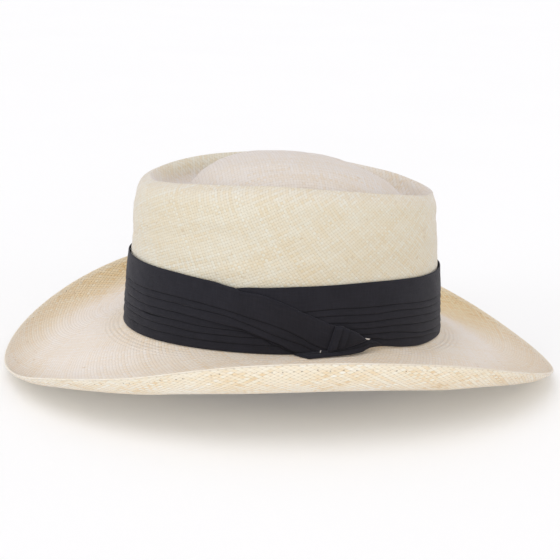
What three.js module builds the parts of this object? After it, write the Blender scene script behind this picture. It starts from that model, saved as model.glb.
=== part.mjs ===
// Straw sun hat: telescope crown, three-inch brim curled up at the sides, pleated cloth band
// lapped and knotted on the wearer's left, leather sweatband inside.
// Millimetres. +Z up, -Y is the front of the hat, +X is the wearer's left.
// Origin: centre of the head opening, on the plane where the crown meets the brim.

import * as THREE from 'three';

// ---------------------------------------------------------------- driving dimensions
const N_AROUND = 60;              // stations round every ring
const STRAW_T = 1.2;              // thickness of the woven straw
const GAP = 0.3;                  // clearance between touching pieces

// Crown rings from the apex down to the foot of the wall, outer face of the straw:
// [half length Y, half width X, centre Y, height, height*S, height*S^2, height*S^3], S = sine of the station angle
const CROWN_RINGS = [
  [0, 0, -5.0, 107.0, 0, 0, 0],
  [15.5, 12, -3.6, 106.5, -0.3, 0, 0],
  [32.5, 25, -0.9, 104.4, -1.0, -0.6, 0],
  [48.5, 36.5, 2.5, 100.0, -2.0, -1.6, 0.2],
  [61.0, 46.0, 4.4, 94.0, -3.0, -2.8, 0.5],
  [70.0, 52.6, 5.2, 87.8, -4.0, -4.4, 0.9],
  [76.0, 57.0, 5.0, 83.8, -4.8, -6.0, 1.3],
  [81.2, 61.0, 4.5, 83.9, -5.4, -7.2, 1.6],
  [86.6, 65.3, 4.0, 89.8, -6.0, -8.0, 2.0],
  [90.2, 68.4, 3.6, 94.7, -6.3, -8.2, 2.2],
  [93.0, 71.2, 3.2, 96.2, -6.3, -8.2, 2.2],
  [95.8, 74.6, 1.4, 94.4, -6.0, -8.1, 2.1],
  [97.5, 77.6, 0.2, 89.8, -5.2, -7.8, 1.7],
  [98.3, 79.8, -0.2, 80.5, -3.9, -6.4, 0.9],
  [98.9, 82.1, -0.4, 64.0, -2.7, -4.2, 0.2],
  [99.9, 83.8, -0.6, 45.0, -1.2, -2.0, 0],
  [101.2, 84.6, -0.8, 22.0, -1.7, -2.8, 0],
  [102.4, 85.3, -0.8, 2.6, -2.0, -3.4, 0],
];
// Brim edge: super-ellipse and its height
const EDGE = { a: 179.2, b: 155.8, yc: -0.75, n: 2.1, z: [16.4, -2.5, -43.2, -1.0] };
// Brim section: falls by BRIM_FALL, then curls up with the power BRIM_CURL
const BRIM_FALL_SIDE = -11.6;
const BRIM_FALL_ENDS = -25.4;
const BRIM_CURL = 7.0;
const BRIM_STATIONS = [0.018, 0.05, 0.14, 0.3, 0.48, 0.64, 0.77, 0.87, 0.94, 1.0];

// Hatband: cloth stack over a woven stay tape
const STAY_T = 0.5;
const BAND_IN = GAP + STAY_T + GAP;          // inner face, from the straw
const BAND_OUT_TOP = 2.1;
const BAND_OUT_BOTTOM = 3.0;
// top edge height against station angle in degrees (front is -90)
const BAND_TOP = [[-180, 42.0], [-150, 43.5], [-120, 45.2], [-90, 46.2], [-62, 46.0], [-51, 45.4],
  [-42, 43.9], [-34, 41.7], [-25, 38.9], [-16, 39.6], [-3, 41.0], [19, 41.7], [37, 41.9], [49, 41.0],
  [66, 39.2], [90, 38.0], [120, 38.8], [150, 40.5], [180, 42.0]];

// Sweatband and its reed
const SWEAT_T = 1.0;
const SWEAT_TOP = 36.0;
const SWEAT_OFF = 1.85;                      // outer face, inward from the straw's inner face
const TAPE_T = 0.45;

// ---------------------------------------------------------------- helpers
const deg = (d) => (d * Math.PI) / 180;
const angles = [];
for (let i = 0; i < N_AROUND; i++) angles.push((2 * Math.PI * i) / N_AROUND - Math.PI);

function lerpTable(table, x) {
  if (x <= table[0][0]) return table[0][1];
  for (let i = 1; i < table.length; i++) {
    if (x <= table[i][0]) {
      const k = (x - table[i - 1][0]) / (table[i][0] - table[i - 1][0]);
      return table[i - 1][1] * (1 - k) + table[i][1] * k;
    }
  }
  return table[table.length - 1][1];
}

function ringPoint(r, t) {
  const S = Math.sin(t), C = Math.cos(t);
  return new THREE.Vector3(r[1] * C, r[2] + r[0] * S, r[3] + r[4] * S + r[5] * S * S + r[6] * S * S * S);
}

const LAST = CROWN_RINGS.length - 1;
const footZ = (S) => -2.0 * S - 3.4 * S * S;

// point of the straw's outer face on the wall at height h above the brim break
function wallPoint(t, h) {
  const S = Math.sin(t);
  const z = h + footZ(S) * (1 - 0.42 * Math.min(Math.max(h, 0), 45) / 45);
  let hi = 14, lo = LAST;
  for (let i = 14; i < LAST; i++) {
    const a = ringPoint(CROWN_RINGS[i], t).z, b = ringPoint(CROWN_RINGS[i + 1], t).z;
    if (z <= a && z >= b) { hi = i; lo = i + 1; break; }
    if (i === LAST - 1) { hi = LAST - 1; lo = LAST; }
  }
  const A = ringPoint(CROWN_RINGS[hi], t), B = ringPoint(CROWN_RINGS[lo], t);
  const k = (z - A.z) / (B.z - A.z);
  return A.lerp(B, Math.min(k, 1.35)).setZ(z);
}

// horizontal outward normal of the wall
function wallNormal(t) {
  return new THREE.Vector3(Math.cos(t) / 85, Math.sin(t) / 101, 0).normalize();
}

// point at a distance from the straw's outer face
function wallOffset(t, h, off) {
  return wallPoint(t, h).addScaledVector(wallNormal(t), off);
}

function superPoint(t) {
  const S = Math.sin(t), C = Math.cos(t), e = 2 / EDGE.n;
  const z = EDGE.z[0] + EDGE.z[1] * S + EDGE.z[2] * S * S + EDGE.z[3] * S ** 4;
  return new THREE.Vector3(EDGE.b * Math.sign(C) * Math.abs(C) ** e, EDGE.yc + EDGE.a * Math.sign(S) * Math.abs(S) ** e, z);
}

function brimPoint(t, r) {
  const S = Math.sin(t);
  const foot = ringPoint(CROWN_RINGS[LAST], t), edge = superPoint(t);
  const base = footZ(S);
  const fall = BRIM_FALL_SIDE + BRIM_FALL_ENDS * S * S;
  const curl = edge.z - base - fall;
  const p = foot.clone().lerp(edge, r);
  p.z = base + fall * r + curl * r ** BRIM_CURL + 2.6 * Math.exp(-r / 0.013);
  return p;
}

function makeMesh(name, geometry, material) {
  geometry.computeVertexNormals();
  const m = new THREE.Mesh(geometry, material);
  m.name = name;
  return m;
}

function geometryFrom(vertices, faces) {
  const g = new THREE.BufferGeometry();
  g.setAttribute('position', new THREE.Float32BufferAttribute(vertices.flatMap((v) => [v.x, v.y, v.z]), 3));
  g.setIndex(faces.flat());
  return g;
}

function signedVolume(vertices, faces) {
  let s = 0;
  for (const [a, b, c] of faces) s += vertices[a].dot(vertices[b].clone().cross(vertices[c]));
  return s / 6;
}

function outward(vertices, faces) {
  if (signedVolume(vertices, faces) < 0) faces.forEach((f) => f.reverse());
  return geometryFrom(vertices, faces);
}

// closed ring swept round the head: section(t) gives a closed loop of points
function ringSweep(section, stations = angles) {
  const vertices = [], faces = [];
  const n = stations.length;
  let m = 0;
  for (const t of stations) { const s = section(t); m = s.length; vertices.push(...s); }
  for (let i = 0; i < n; i++) {
    const j = (i + 1) % n;
    for (let k = 0; k < m; k++) {
      const l = (k + 1) % m;
      const a = i * m + k, b = j * m + k, c = j * m + l, d = i * m + l;
      faces.push([a, b, c], [a, c, d]);
    }
  }
  return outward(vertices, faces);
}

// open strip swept between two stations, with capped ends; the section is a convex-ish closed loop
function stripSweep(section, stations) {
  const vertices = [], faces = [];
  const n = stations.length;
  let m = 0;
  for (const t of stations) { const s = section(t); m = s.length; vertices.push(...s); }
  for (let i = 0; i < n - 1; i++) {
    for (let k = 0; k < m; k++) {
      const l = (k + 1) % m;
      const a = i * m + k, b = (i + 1) * m + k, c = (i + 1) * m + l, d = i * m + l;
      faces.push([a, b, c], [a, c, d]);
    }
  }
  // caps: the section is listed as an outer run and a returning inner run of equal length
  const h = m / 2;
  for (let k = 0; k < h - 1; k++) {
    const a = k, b = k + 1, c = m - 2 - k, d = m - 1 - k;
    faces.push([a, b, c], [a, c, d]);
    const o = (n - 1) * m;
    faces.push([o + a, o + c, o + b], [o + a, o + d, o + c]);
  }
  return outward(vertices, faces);
}

// closed solid between two grids of points (inner and outer face), rows x columns
function slab(rows, cols, inner, outer) {
  const vertices = [], faces = [];
  const R = rows.length, C = cols.length;
  for (const f of [outer, inner]) for (const r of rows) for (const c of cols) vertices.push(f(r, c));
  const O = (i, j) => i * C + j, I = (i, j) => R * C + i * C + j;
  for (let i = 0; i < R - 1; i++) {
    for (let j = 0; j < C - 1; j++) {
      faces.push([O(i, j), O(i + 1, j), O(i + 1, j + 1)], [O(i, j), O(i + 1, j + 1), O(i, j + 1)]);
      faces.push([I(i, j), I(i + 1, j + 1), I(i + 1, j)], [I(i, j), I(i, j + 1), I(i + 1, j + 1)]);
    }
  }
  for (let j = 0; j < C - 1; j++) {
    faces.push([O(0, j), O(0, j + 1), I(0, j + 1)], [O(0, j), I(0, j + 1), I(0, j)]);
    faces.push([O(R - 1, j), I(R - 1, j + 1), O(R - 1, j + 1)], [O(R - 1, j), I(R - 1, j), I(R - 1, j + 1)]);
  }
  for (let i = 0; i < R - 1; i++) {
    faces.push([O(i, 0), I(i + 1, 0), O(i + 1, 0)], [O(i, 0), I(i, 0), I(i + 1, 0)]);
    faces.push([O(i, C - 1), O(i + 1, C - 1), I(i + 1, C - 1)], [O(i, C - 1), I(i + 1, C - 1), I(i, C - 1)]);
  }
  return outward(vertices, faces);
}

// short thread laid along a few points: square section
function threadAlong(points, w, up) {
  const vertices = [], faces = [];
  const n = points.length;
  for (let i = 0; i < n; i++) {
    const d = points[Math.min(i + 1, n - 1)].clone().sub(points[Math.max(i - 1, 0)]).normalize();
    const a = d.clone().cross(up).normalize().multiplyScalar(w / 2);
    const b = up.clone().addScaledVector(d, -up.dot(d)).normalize().multiplyScalar(w / 2);
    vertices.push(points[i].clone().add(a).add(b), points[i].clone().sub(a).add(b),
      points[i].clone().sub(a).sub(b), points[i].clone().add(a).sub(b));
  }
  for (let i = 0; i < n - 1; i++) {
    for (let k = 0; k < 4; k++) {
      const l = (k + 1) % 4;
      faces.push([i * 4 + k, (i + 1) * 4 + k, (i + 1) * 4 + l], [i * 4 + k, (i + 1) * 4 + l, i * 4 + l]);
    }
  }
  const o = (n - 1) * 4;
  faces.push([0, 1, 2], [0, 2, 3], [o, o + 2, o + 1], [o, o + 3, o + 2]);
  return outward(vertices, faces);
}

const range = (a, b, n) => Array.from({ length: n }, (_, i) => a + ((b - a) * i) / (n - 1));

// ---------------------------------------------------------------- materials
const straw = new THREE.MeshStandardMaterial({ color: 0xe4dac3, roughness: 0.75, metalness: 0 });
const cloth = new THREE.MeshStandardMaterial({ color: 0x2b2a30, roughness: 0.85, metalness: 0 });
const thread = new THREE.MeshStandardMaterial({ color: 0xd8cfc8, roughness: 0.6, metalness: 0 });
const blackThread = new THREE.MeshStandardMaterial({ color: 0x26252a, roughness: 0.7, metalness: 0 });
const leather = new THREE.MeshStandardMaterial({ color: 0x7a5233, roughness: 0.55, metalness: 0 });
const tapeCloth = new THREE.MeshStandardMaterial({ color: 0x3a3230, roughness: 0.85, metalness: 0 });
const reedPlastic = new THREE.MeshStandardMaterial({ color: 0xefeee8, roughness: 0.4, metalness: 0 });
const ribbon = new THREE.MeshStandardMaterial({ color: 0x2a2624, roughness: 0.5, metalness: 0 });
const paper = new THREE.MeshStandardMaterial({ color: 0xf2efe6, roughness: 0.9, metalness: 0 });

const hat = new THREE.Group();
hat.name = 'straw_sun_hat';

// ---------------------------------------------------------------- straw body: crown and brim, one woven shell
function strawBody() {
  const rows = [];                                   // outer face, apex excluded
  for (let i = 1; i <= LAST; i++) rows.push(angles.map((t) => ringPoint(CROWN_RINGS[i], t)));
  for (const r of BRIM_STATIONS) rows.push(angles.map((t) => brimPoint(t, r)));
  const apex = ringPoint(CROWN_RINGS[0], 0);
  const R = rows.length, N = N_AROUND;
  const P = (i, j) => rows[Math.max(0, Math.min(R - 1, i))][(j + N) % N];
  const normal = (i, j) => {
    const along = (i === 0 ? P(1, j).clone().sub(apex) : P(i + 1, j).clone().sub(P(i - 1, j)));
    const round = P(i, j + 1).clone().sub(P(i, j - 1));
    return round.cross(along).normalize().negate();
  };
  // the normal points away from the head; the inner face is offset by the thickness
  const sign = normal(R - 8, 0).z > 0 ? 1 : -1;
  const inner = rows.map((row, i) => row.map((p, j) => p.clone().addScaledVector(normal(i, j), -sign * STRAW_T)));
  const apexIn = apex.clone().add(new THREE.Vector3(0, 0, -STRAW_T));
  const vertices = [apex, ...rows.flat(), apexIn, ...inner.flat()];
  const O = (i, j) => 1 + i * N + (j % N), I = (i, j) => 2 + R * N + i * N + (j % N);
  const faces = [];
  for (let j = 0; j < N; j++) {
    faces.push([0, O(0, j), O(0, j + 1)], [1 + R * N, I(0, j + 1), I(0, j)]);
    for (let i = 0; i < R - 1; i++) {
      faces.push([O(i, j), O(i + 1, j), O(i + 1, j + 1)], [O(i, j), O(i + 1, j + 1), O(i, j + 1)]);
      faces.push([I(i, j), I(i + 1, j + 1), I(i + 1, j)], [I(i, j), I(i, j + 1), I(i + 1, j + 1)]);
    }
    faces.push([O(R - 1, j), I(R - 1, j), I(R - 1, j + 1)], [O(R - 1, j), I(R - 1, j + 1), O(R - 1, j + 1)]);
  }
  return outward(vertices, faces);
}
hat.add(makeMesh('straw_body', strawBody(), straw));

// ---------------------------------------------------------------- hatband
const bandTopH = (t) => {
  const S = Math.sin(t);
  const z = lerpTable(BAND_TOP, (t * 180) / Math.PI > 180 ? (t * 180) / Math.PI - 360 : (t * 180) / Math.PI);
  return (z - footZ(S) * 0.6);
};

hat.add(makeMesh('band_stay_tape', ringSweep((t) => {
  const H = 34;
  return [wallOffset(t, 5, GAP + STAY_T), wallOffset(t, 20, GAP + STAY_T), wallOffset(t, H, GAP + STAY_T),
    wallOffset(t, H, GAP), wallOffset(t, 20, GAP), wallOffset(t, 5, GAP)];
}), tapeCloth));

hat.add(makeMesh('hatband', ringSweep((t) => {
  const top = bandTopH(t);
  const bo = BAND_OUT_BOTTOM;
  return [
    wallOffset(t, 1.0, bo), wallOffset(t, 5.5, bo), wallOffset(t, 22, 2.6), wallOffset(t, top, BAND_OUT_TOP),
    wallOffset(t, top, BAND_IN - 0.1), wallOffset(t, 22, BAND_IN), wallOffset(t, 5.5, BAND_IN), wallOffset(t, 1.9, BAND_IN + 0.5),
  ];
}), cloth));

// diagonal end of the band lapping over the start of the strip: upper and lower edges against station angle
const OVER_TOP = [[-32, 38.6], [-23.5, 36.6], [-18, 34.8], [-10.5, 31.2], [-5.8, 28.2], [-2.7, 25.9], [1.7, 22.4], [6.2, 18.9], [9.5, 16.6]];
const OVER_LOW = [[-32, 21.0], [-22.3, 16.0], [-18.2, 12.8], [-10.1, 7.2], [-3.4, 2.2], [0, 2.2], [9.5, 2.2]];
hat.add(makeMesh('hatband_over_end', slab(range(-32, 9.5, 11), [0, 0.34, 0.67, 1],
  (d, k) => { const h = lerpTable(OVER_LOW, d) * (1 - k) + lerpTable(OVER_TOP, d) * k; return wallOffset(deg(d), h, 3.35 + 0.15 * (1 - k)); },
  (d, k) => { const h = lerpTable(OVER_LOW, d) * (1 - k) + lerpTable(OVER_TOP, d) * k; return wallOffset(deg(d), h, 4.75 + 0.1 * (1 - k)); }), cloth));

// folded tail below the knot, its outer corner resting on the brim
const TAIL_TOP = [[1.4, 0.7], [7, 1.2], [14, 1.6], [21, 2.4], [27, 2.9]];
const TAIL_LOW = [[1.4, -1.0], [7, -0.7], [14, -0.5], [21, 0.3], [27, 1.6]];
const TAIL_REACH = [[1.4, 9.4], [7, 8.2], [14, 7.0], [21, 5.6], [27, 4.4]];
hat.add(makeMesh('knot_tail', slab(range(1.4, 27, 8), [0, 1],
  (d, k) => (k ? wallOffset(deg(d), lerpTable(TAIL_TOP, d), 3.4) : wallOffset(deg(d), Math.max(lerpTable(TAIL_LOW, d), 0.1), lerpTable(TAIL_REACH, d) - 1.6)),
  (d, k) => (k ? wallOffset(deg(d), lerpTable(TAIL_TOP, d) + 0.5, 4.6) : wallOffset(deg(d), lerpTable(TAIL_LOW, d) + 0.9, lerpTable(TAIL_REACH, d)))), cloth));

// folded triangular loop of the knot
const LOOP_TOP = [[7.6, 17.6], [9.4, 17.4], [12, 15.6], [16, 12.9], [19, 9.8], [21.8, 7.2]];
const LOOP_LOW = [[7.6, 3.2], [9.4, 3.2], [14.6, 3.9], [18, 4.8], [21.8, 6.0]];
hat.add(makeMesh('knot_loop', slab([7.6, 9.4, 11.4, 13.4, 15.6, 18, 20, 21.8], [0, 0.5, 1],
  (d, k) => wallOffset(deg(d), lerpTable(LOOP_LOW, d) * (1 - k) + lerpTable(LOOP_TOP, d) * k, 5.25),
  (d, k) => wallOffset(deg(d), lerpTable(LOOP_LOW, d) * (1 - k) + lerpTable(LOOP_TOP, d) * k, 6.6 + 0.5 * Math.sin(Math.PI * k))), cloth));

// thread tacks
const UP = new THREE.Vector3(0, 0, 1);
function tack(name, d0, h0, d1, h1, off, w, mat) {
  const pts = range(0, 1, 4).map((k) => wallOffset(deg(d0 + (d1 - d0) * k), h0 + (h1 - h0) * k, off + 0.25 * Math.sin(Math.PI * k)));
  hat.add(makeMesh(name, threadAlong(pts, w, wallNormal(deg(d0))), mat));
}
tack('knot_tack_upper', 22.2, 6.9, 24.0, 6.3, 3.75, 0.7, thread);
tack('knot_tack_lower', 4.1, 3.2, 4.6, 4.9, 5.4, 0.6, thread);
tack('band_tack_front', -91, bandTopH(deg(-90)) + 0.9, -89, bandTopH(deg(-90)) + 0.9, 0.75, 0.6, blackThread);
tack('band_tack_back', 89, bandTopH(deg(90)) + 0.9, 91, bandTopH(deg(90)) + 0.9, 0.75, 0.6, blackThread);
tack('band_tack_right', 179, bandTopH(deg(180)) + 0.9, 181, bandTopH(deg(180)) + 0.9, 0.75, 0.6, blackThread);

// ---------------------------------------------------------------- sweatband assembly
// offsets below are inward from the straw's inner face
const inside = (t, h, off) => wallOffset(t, h, -(STRAW_T + 0.05 + off));

// the strip's two ends meet at the back with a narrow slit between them
const BACK_SLIT = 0.35;
const sweatStations = [];
for (let i = 0; i <= N_AROUND; i++) sweatStations.push(deg(90 + BACK_SLIT) + ((2 * Math.PI - 2 * deg(BACK_SLIT)) * i) / N_AROUND);
hat.add(makeMesh('sweatband', stripSweep((t) => {
  const o = SWEAT_OFF, p = SWEAT_OFF + SWEAT_T;
  return [inside(t, 3.4, o), inside(t, 12, o), inside(t, 24, o), inside(t, SWEAT_TOP, o),
    inside(t, SWEAT_TOP, p), inside(t, 24, p), inside(t, 12, p), inside(t, 3.4, p)];
}, sweatStations), leather));

// tape folded round the reed: a leg up the straw, a wrap below, a short inner lip
hat.add(makeMesh('reed_tape', ringSweep((t) => [
  inside(t, 9.0, 0.3), inside(t, 1.2, 0.3), inside(t, -0.9, 1.0), inside(t, -0.9, 3.1), inside(t, 0.6, 3.75), inside(t, 2.8, 3.75),
  inside(t, 2.8, 3.3), inside(t, 0.9, 3.3), inside(t, -0.4, 2.85), inside(t, -0.4, 1.25), inside(t, 1.4, 0.3 + TAPE_T), inside(t, 9.0, 0.3 + TAPE_T),
]), tapeCloth));

hat.add(makeMesh('sweat_reed', ringSweep((t) => range(0, 5, 6).map((k) => {
  const a = (k * Math.PI) / 3 + Math.PI / 6;
  return inside(t, 1.2 + 1.0 * Math.sin(a), 2.05 + 0.9 * Math.cos(a));
})), reedPlastic));

hat.add(makeMesh('sweat_stitching', ringSweep((t) => [
  inside(t, 6.4, 1.05), inside(t, 6.4, 1.5), inside(t, 7.0, 1.5), inside(t, 7.0, 1.05),
]), blackThread));

// zigzag thread closing the back slit, on the inner face
{
  const pts = [];
  for (let i = 0; i <= 14; i++) pts.push(inside(deg(90 + (i % 2 ? 1.3 : -1.3)), 6 + i * 2.0, SWEAT_OFF + SWEAT_T + 0.55));
  hat.add(makeMesh('sweatband_seam_thread', threadAlong(pts, 0.45, new THREE.Vector3(0, 1, 0)), blackThread));
}

// small ribbon bow over the back seam, near the lower edge
{
  const base = inside(deg(90), 8, SWEAT_OFF + SWEAT_T).y;     // inner face of the leather at the back
  const outline = [[-1.6, -1.6], [-6, -3.4], [-12, -4.2], [-13.2, -2], [-13.2, 2], [-12, 4.2], [-6, 3.4], [-1.6, 1.6],
    [1.6, 1.6], [6, 3.4], [12, 4.2], [13.2, 2], [13.2, -2], [12, -4.2], [6, -3.4], [1.6, -1.6]];
  const shape = new THREE.Shape(outline.map(([x, y]) => new THREE.Vector2(x, y)));
  const g = new THREE.ExtrudeGeometry(shape, { depth: 1.6, bevelEnabled: false });
  const bow = makeMesh('bow_ribbon', g, ribbon);
  bow.rotation.set(Math.PI / 2, 0, 0);
  bow.position.set(0, base - 2.1, 5.2);
  hat.add(bow);
  // wrap: a loop of ribbon round the bow's waist
  const outer = [[-2.5, -1.35], [2.5, -1.35], [2.5, 1.35], [-2.5, 1.35]], inn = [[-1.95, -1.1], [1.95, -1.1], [1.95, 1.1], [-1.95, 1.1]];
  const vertices = [], faces = [];
  for (const x of [-1.2, 1.2]) {
    for (const [z, y] of outer) vertices.push(new THREE.Vector3(x, base - 2.9 + y, 5.2 + z));
    for (const [z, y] of inn) vertices.push(new THREE.Vector3(x, base - 2.9 + y, 5.2 + z));
  }
  for (let k = 0; k < 4; k++) {
    const l = (k + 1) % 4;
    faces.push([k, l, 8 + l], [k, 8 + l, 8 + k]);                               // outside
    faces.push([4 + k, 12 + l, 4 + l], [4 + k, 12 + k, 12 + l]);                // bore
    faces.push([k, 4 + l, l], [k, 4 + k, 4 + l]);                               // one end
    faces.push([8 + k, 8 + l, 12 + l], [8 + k, 12 + l, 12 + k]);                // other end
  }
  hat.add(makeMesh('bow_wrap', outward(vertices, faces), ribbon));
}

// blank size ticket tucked between straw and sweatband
hat.add(makeMesh('size_tab', slab(range(68, 76, 3), [12, 30],
  (d, h) => inside(deg(d), h, 1.3), (d, h) => inside(deg(d), h, 1.0)), paper));

export default hat;
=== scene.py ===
import math

import bpy
import numpy as np
from mathutils import Matrix, Vector


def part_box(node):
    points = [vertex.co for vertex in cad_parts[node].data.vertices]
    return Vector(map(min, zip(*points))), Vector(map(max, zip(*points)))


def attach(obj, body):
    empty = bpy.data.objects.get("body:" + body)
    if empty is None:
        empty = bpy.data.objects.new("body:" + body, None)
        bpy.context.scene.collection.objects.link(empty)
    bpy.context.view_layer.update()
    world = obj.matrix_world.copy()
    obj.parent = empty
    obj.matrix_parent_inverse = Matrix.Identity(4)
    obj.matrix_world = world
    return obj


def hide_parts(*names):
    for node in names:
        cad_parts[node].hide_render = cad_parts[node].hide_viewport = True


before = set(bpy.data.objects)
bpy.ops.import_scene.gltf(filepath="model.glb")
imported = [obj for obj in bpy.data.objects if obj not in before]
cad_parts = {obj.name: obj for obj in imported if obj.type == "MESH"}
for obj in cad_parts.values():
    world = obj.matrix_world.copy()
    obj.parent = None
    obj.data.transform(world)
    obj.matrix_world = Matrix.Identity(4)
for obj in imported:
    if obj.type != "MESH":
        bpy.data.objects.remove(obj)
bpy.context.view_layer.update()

MM = 0.001
PITCH = 1.8                      # width of one woven straw ribbon, mm
STRAW_T = 1.2
rng = np.random.default_rng(7)


# ------------------------------------------------------------------ camera
CAM_AT = np.array([857.232, -155.505, 250.270])
CAM_TO = np.array([0.0, -2.5, 22.8])
CAM_ROLL = math.radians(1.75)

fwd = (CAM_TO - CAM_AT) / np.linalg.norm(CAM_TO - CAM_AT)
right = np.cross(fwd, [0, 0, 1.0])
right /= np.linalg.norm(right)
up = np.cross(right, fwd)
cr, sr = math.cos(CAM_ROLL), math.sin(CAM_ROLL)
R_, U_ = cr * right + sr * up, -sr * right + cr * up
cam_data = bpy.data.cameras.new("camera")
cam_data.lens = 88.13
cam_data.sensor_width = 36.0
cam_data.clip_start, cam_data.clip_end = 0.05, 60.0
cam = bpy.data.objects.new("camera", cam_data)
bpy.context.scene.collection.objects.link(cam)
cam.matrix_world = Matrix((
    (R_[0], U_[0], -fwd[0], CAM_AT[0] * MM),
    (R_[1], U_[1], -fwd[1], CAM_AT[1] * MM),
    (R_[2], U_[2], -fwd[2], CAM_AT[2] * MM),
    (0, 0, 0, 1)))
bpy.context.scene.camera = cam


# ------------------------------------------------------------------ the hat's form, in millimetres
RINGS = np.array([
    [0, 0, -5.0, 107.0, 0, 0, 0], [15.5, 12, -3.6, 106.5, -0.3, 0, 0], [32.5, 25, -0.9, 104.4, -1.0, -0.6, 0],
    [48.5, 36.5, 2.5, 100.0, -2.0, -1.6, 0.2], [61.0, 46.0, 4.4, 94.0, -3.0, -2.8, 0.5], [70.0, 52.6, 5.2, 87.8, -4.0, -4.4, 0.9],
    [76.0, 57.0, 5.0, 83.8, -4.8, -6.0, 1.3], [80.9, 61.0, 4.5, 83.9, -5.4, -7.2, 1.6], [85.5, 65.3, 4.2, 89.8, -6.0, -8.0, 2.0],
    [88.8, 68.4, 3.9, 94.7, -6.3, -8.2, 2.2], [91.5, 71.2, 3.5, 96.2, -6.3, -8.2, 2.2], [94.4, 74.6, 1.7, 94.4, -6.0, -8.1, 2.1],
    [96.4, 77.6, 0.6, 89.8, -5.2, -7.8, 1.7], [97.8, 79.8, 0.1, 80.5, -3.9, -6.4, 0.9], [98.8, 82.1, 0.5, 64.0, -2.7, -4.2, 0.2],
    [100.0, 83.8, 0.5, 45.0, -1.2, -2.0, 0], [101.3, 84.6, 0.3, 22.0, -1.7, -2.8, 0], [102.4, 85.3, 0.2, 2.6, -2.0, -3.4, 0]], float)
LAST = len(RINGS) - 1
RIDGE = 10
CHORD = np.concatenate([[0], np.cumsum(np.hypot(np.diff((RINGS[:, 0] + RINGS[:, 1]) / 2), np.diff(RINGS[:, 3])))])


def hermite(xk, yk, x):
    """Smooth curve through the knots (non-uniform Catmull-Rom); yk may have columns."""
    xk, yk, x = np.asarray(xk, float), np.asarray(yk, float), np.asarray(x, float)
    flat = yk.ndim == 1
    if flat:
        yk = yk[:, None]
    d = np.diff(yk, axis=0) / np.diff(xk)[:, None]
    m = np.empty_like(yk)
    m[0], m[-1] = d[0], d[-1]
    h = np.diff(xk)
    m[1:-1] = (d[:-1] * h[1:, None] + d[1:] * h[:-1, None]) / (h[1:] + h[:-1])[:, None]
    i = np.clip(np.searchsorted(xk, x, side="right") - 1, 0, len(xk) - 2)
    t = np.clip((x - xk[i]) / h[i], 0, 1)[..., None]
    hh = h[i][..., None]
    out = ((2 * t**3 - 3 * t**2 + 1) * yk[i] + (t**3 - 2 * t**2 + t) * hh * m[i]
           + (-2 * t**3 + 3 * t**2) * yk[i + 1] + (t**3 - t**2) * hh * m[i + 1])
    return out[..., 0] if flat else out


def monotone(xk, yk, x):
    """Curve through the knots that never overshoots them."""
    xk, yk, x = np.asarray(xk, float), np.asarray(yk, float), np.asarray(x, float)
    h, d = np.diff(xk), np.diff(yk) / np.diff(xk)
    m = np.zeros_like(yk)
    m[0], m[-1] = d[0], d[-1]
    for k in range(1, len(xk) - 1):
        if d[k - 1] * d[k] > 0:
            w1, w2 = 2 * h[k] + h[k - 1], h[k] + 2 * h[k - 1]
            m[k] = (w1 + w2) / (w1 / d[k - 1] + w2 / d[k])
    i = np.clip(np.searchsorted(xk, x, side="right") - 1, 0, len(xk) - 2)
    t = np.clip((x - xk[i]) / h[i], 0, 1)
    return ((2 * t**3 - 3 * t**2 + 1) * yk[i] + (t**3 - 2 * t**2 + t) * h[i] * m[i]
            + (-2 * t**3 + 3 * t**2) * yk[i + 1] + (t**3 - t**2) * h[i] * m[i + 1])


def ring_points(r, t):
    """r (..., 7) ring numbers, t angle; broadcast together."""
    S, C = np.sin(t), np.cos(t)
    return np.stack([r[..., 1] * C, r[..., 2] + r[..., 0] * S,
                     r[..., 3] + r[..., 4] * S + r[..., 5] * S * S + r[..., 6] * S**3], -1)


def sag(t):
    """The break between crown and brim hangs a little lower on the wearer's left, most of all towards the back."""
    d = np.degrees((np.asarray(t, float) + np.pi) % (2 * np.pi) - np.pi)
    a, b = np.clip((d - 30) / 20, 0, 1), np.clip((d - 72) / 34, 0, 1)
    e, f = np.clip((4 - d) / 16, 0, 1), np.clip((d + 132) / 32, 0, 1)
    return -2.4 * a * a * (3 - 2 * a) * (1 - b * b * (3 - 2 * b)) - 1.15 * e * e * (3 - 2 * e) * f * f * (3 - 2 * f)


def foot_z(t):
    S = np.sin(t)
    return -2.0 * S - 3.4 * S * S + sag(t)


def wall_point(t, h):
    """Outer face of the straw at height h above the brim break."""
    t, h = np.broadcast_arrays(np.asarray(t, float), np.asarray(h, float))
    S = np.sin(t)
    z = h + foot_z(t) * (1 - 0.42 * np.clip(h, 0, 45) / 45)
    P = np.stack([ring_points(np.broadcast_to(RINGS[i], t.shape + (7,)), t) for i in range(14, LAST + 1)], 0)
    out = np.empty(t.shape + (3,))
    done = np.zeros(t.shape, bool)
    for k in range(3):
        A, B = P[k], P[k + 1]
        use = ~done & ((z >= B[..., 2]) if k < 2 else np.ones(t.shape, bool))
        f = np.clip((z - A[..., 2]) / (B[..., 2] - A[..., 2]), -2.0, 1.35)[..., None]
        out[use] = (A + (B - A) * f)[use]
        done |= use
    out[..., 2] = z
    return out


def wall_normal(t):
    n = np.stack([np.cos(t) / 85, np.sin(t) / 101, np.zeros_like(t)], -1)
    return n / np.linalg.norm(n, axis=-1, keepdims=True)


def wall_offset(t, h, off):
    t, h, off = np.broadcast_arrays(np.asarray(t, float), np.asarray(h, float), np.asarray(off, float))
    return wall_point(t, h) + wall_normal(t) * off[..., None]


def inside(t, h, off):
    return wall_offset(t, h, -(STRAW_T + 0.05 + np.asarray(off, float)))


def spow(v, e):
    return np.sign(v) * np.abs(v)**e


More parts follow.
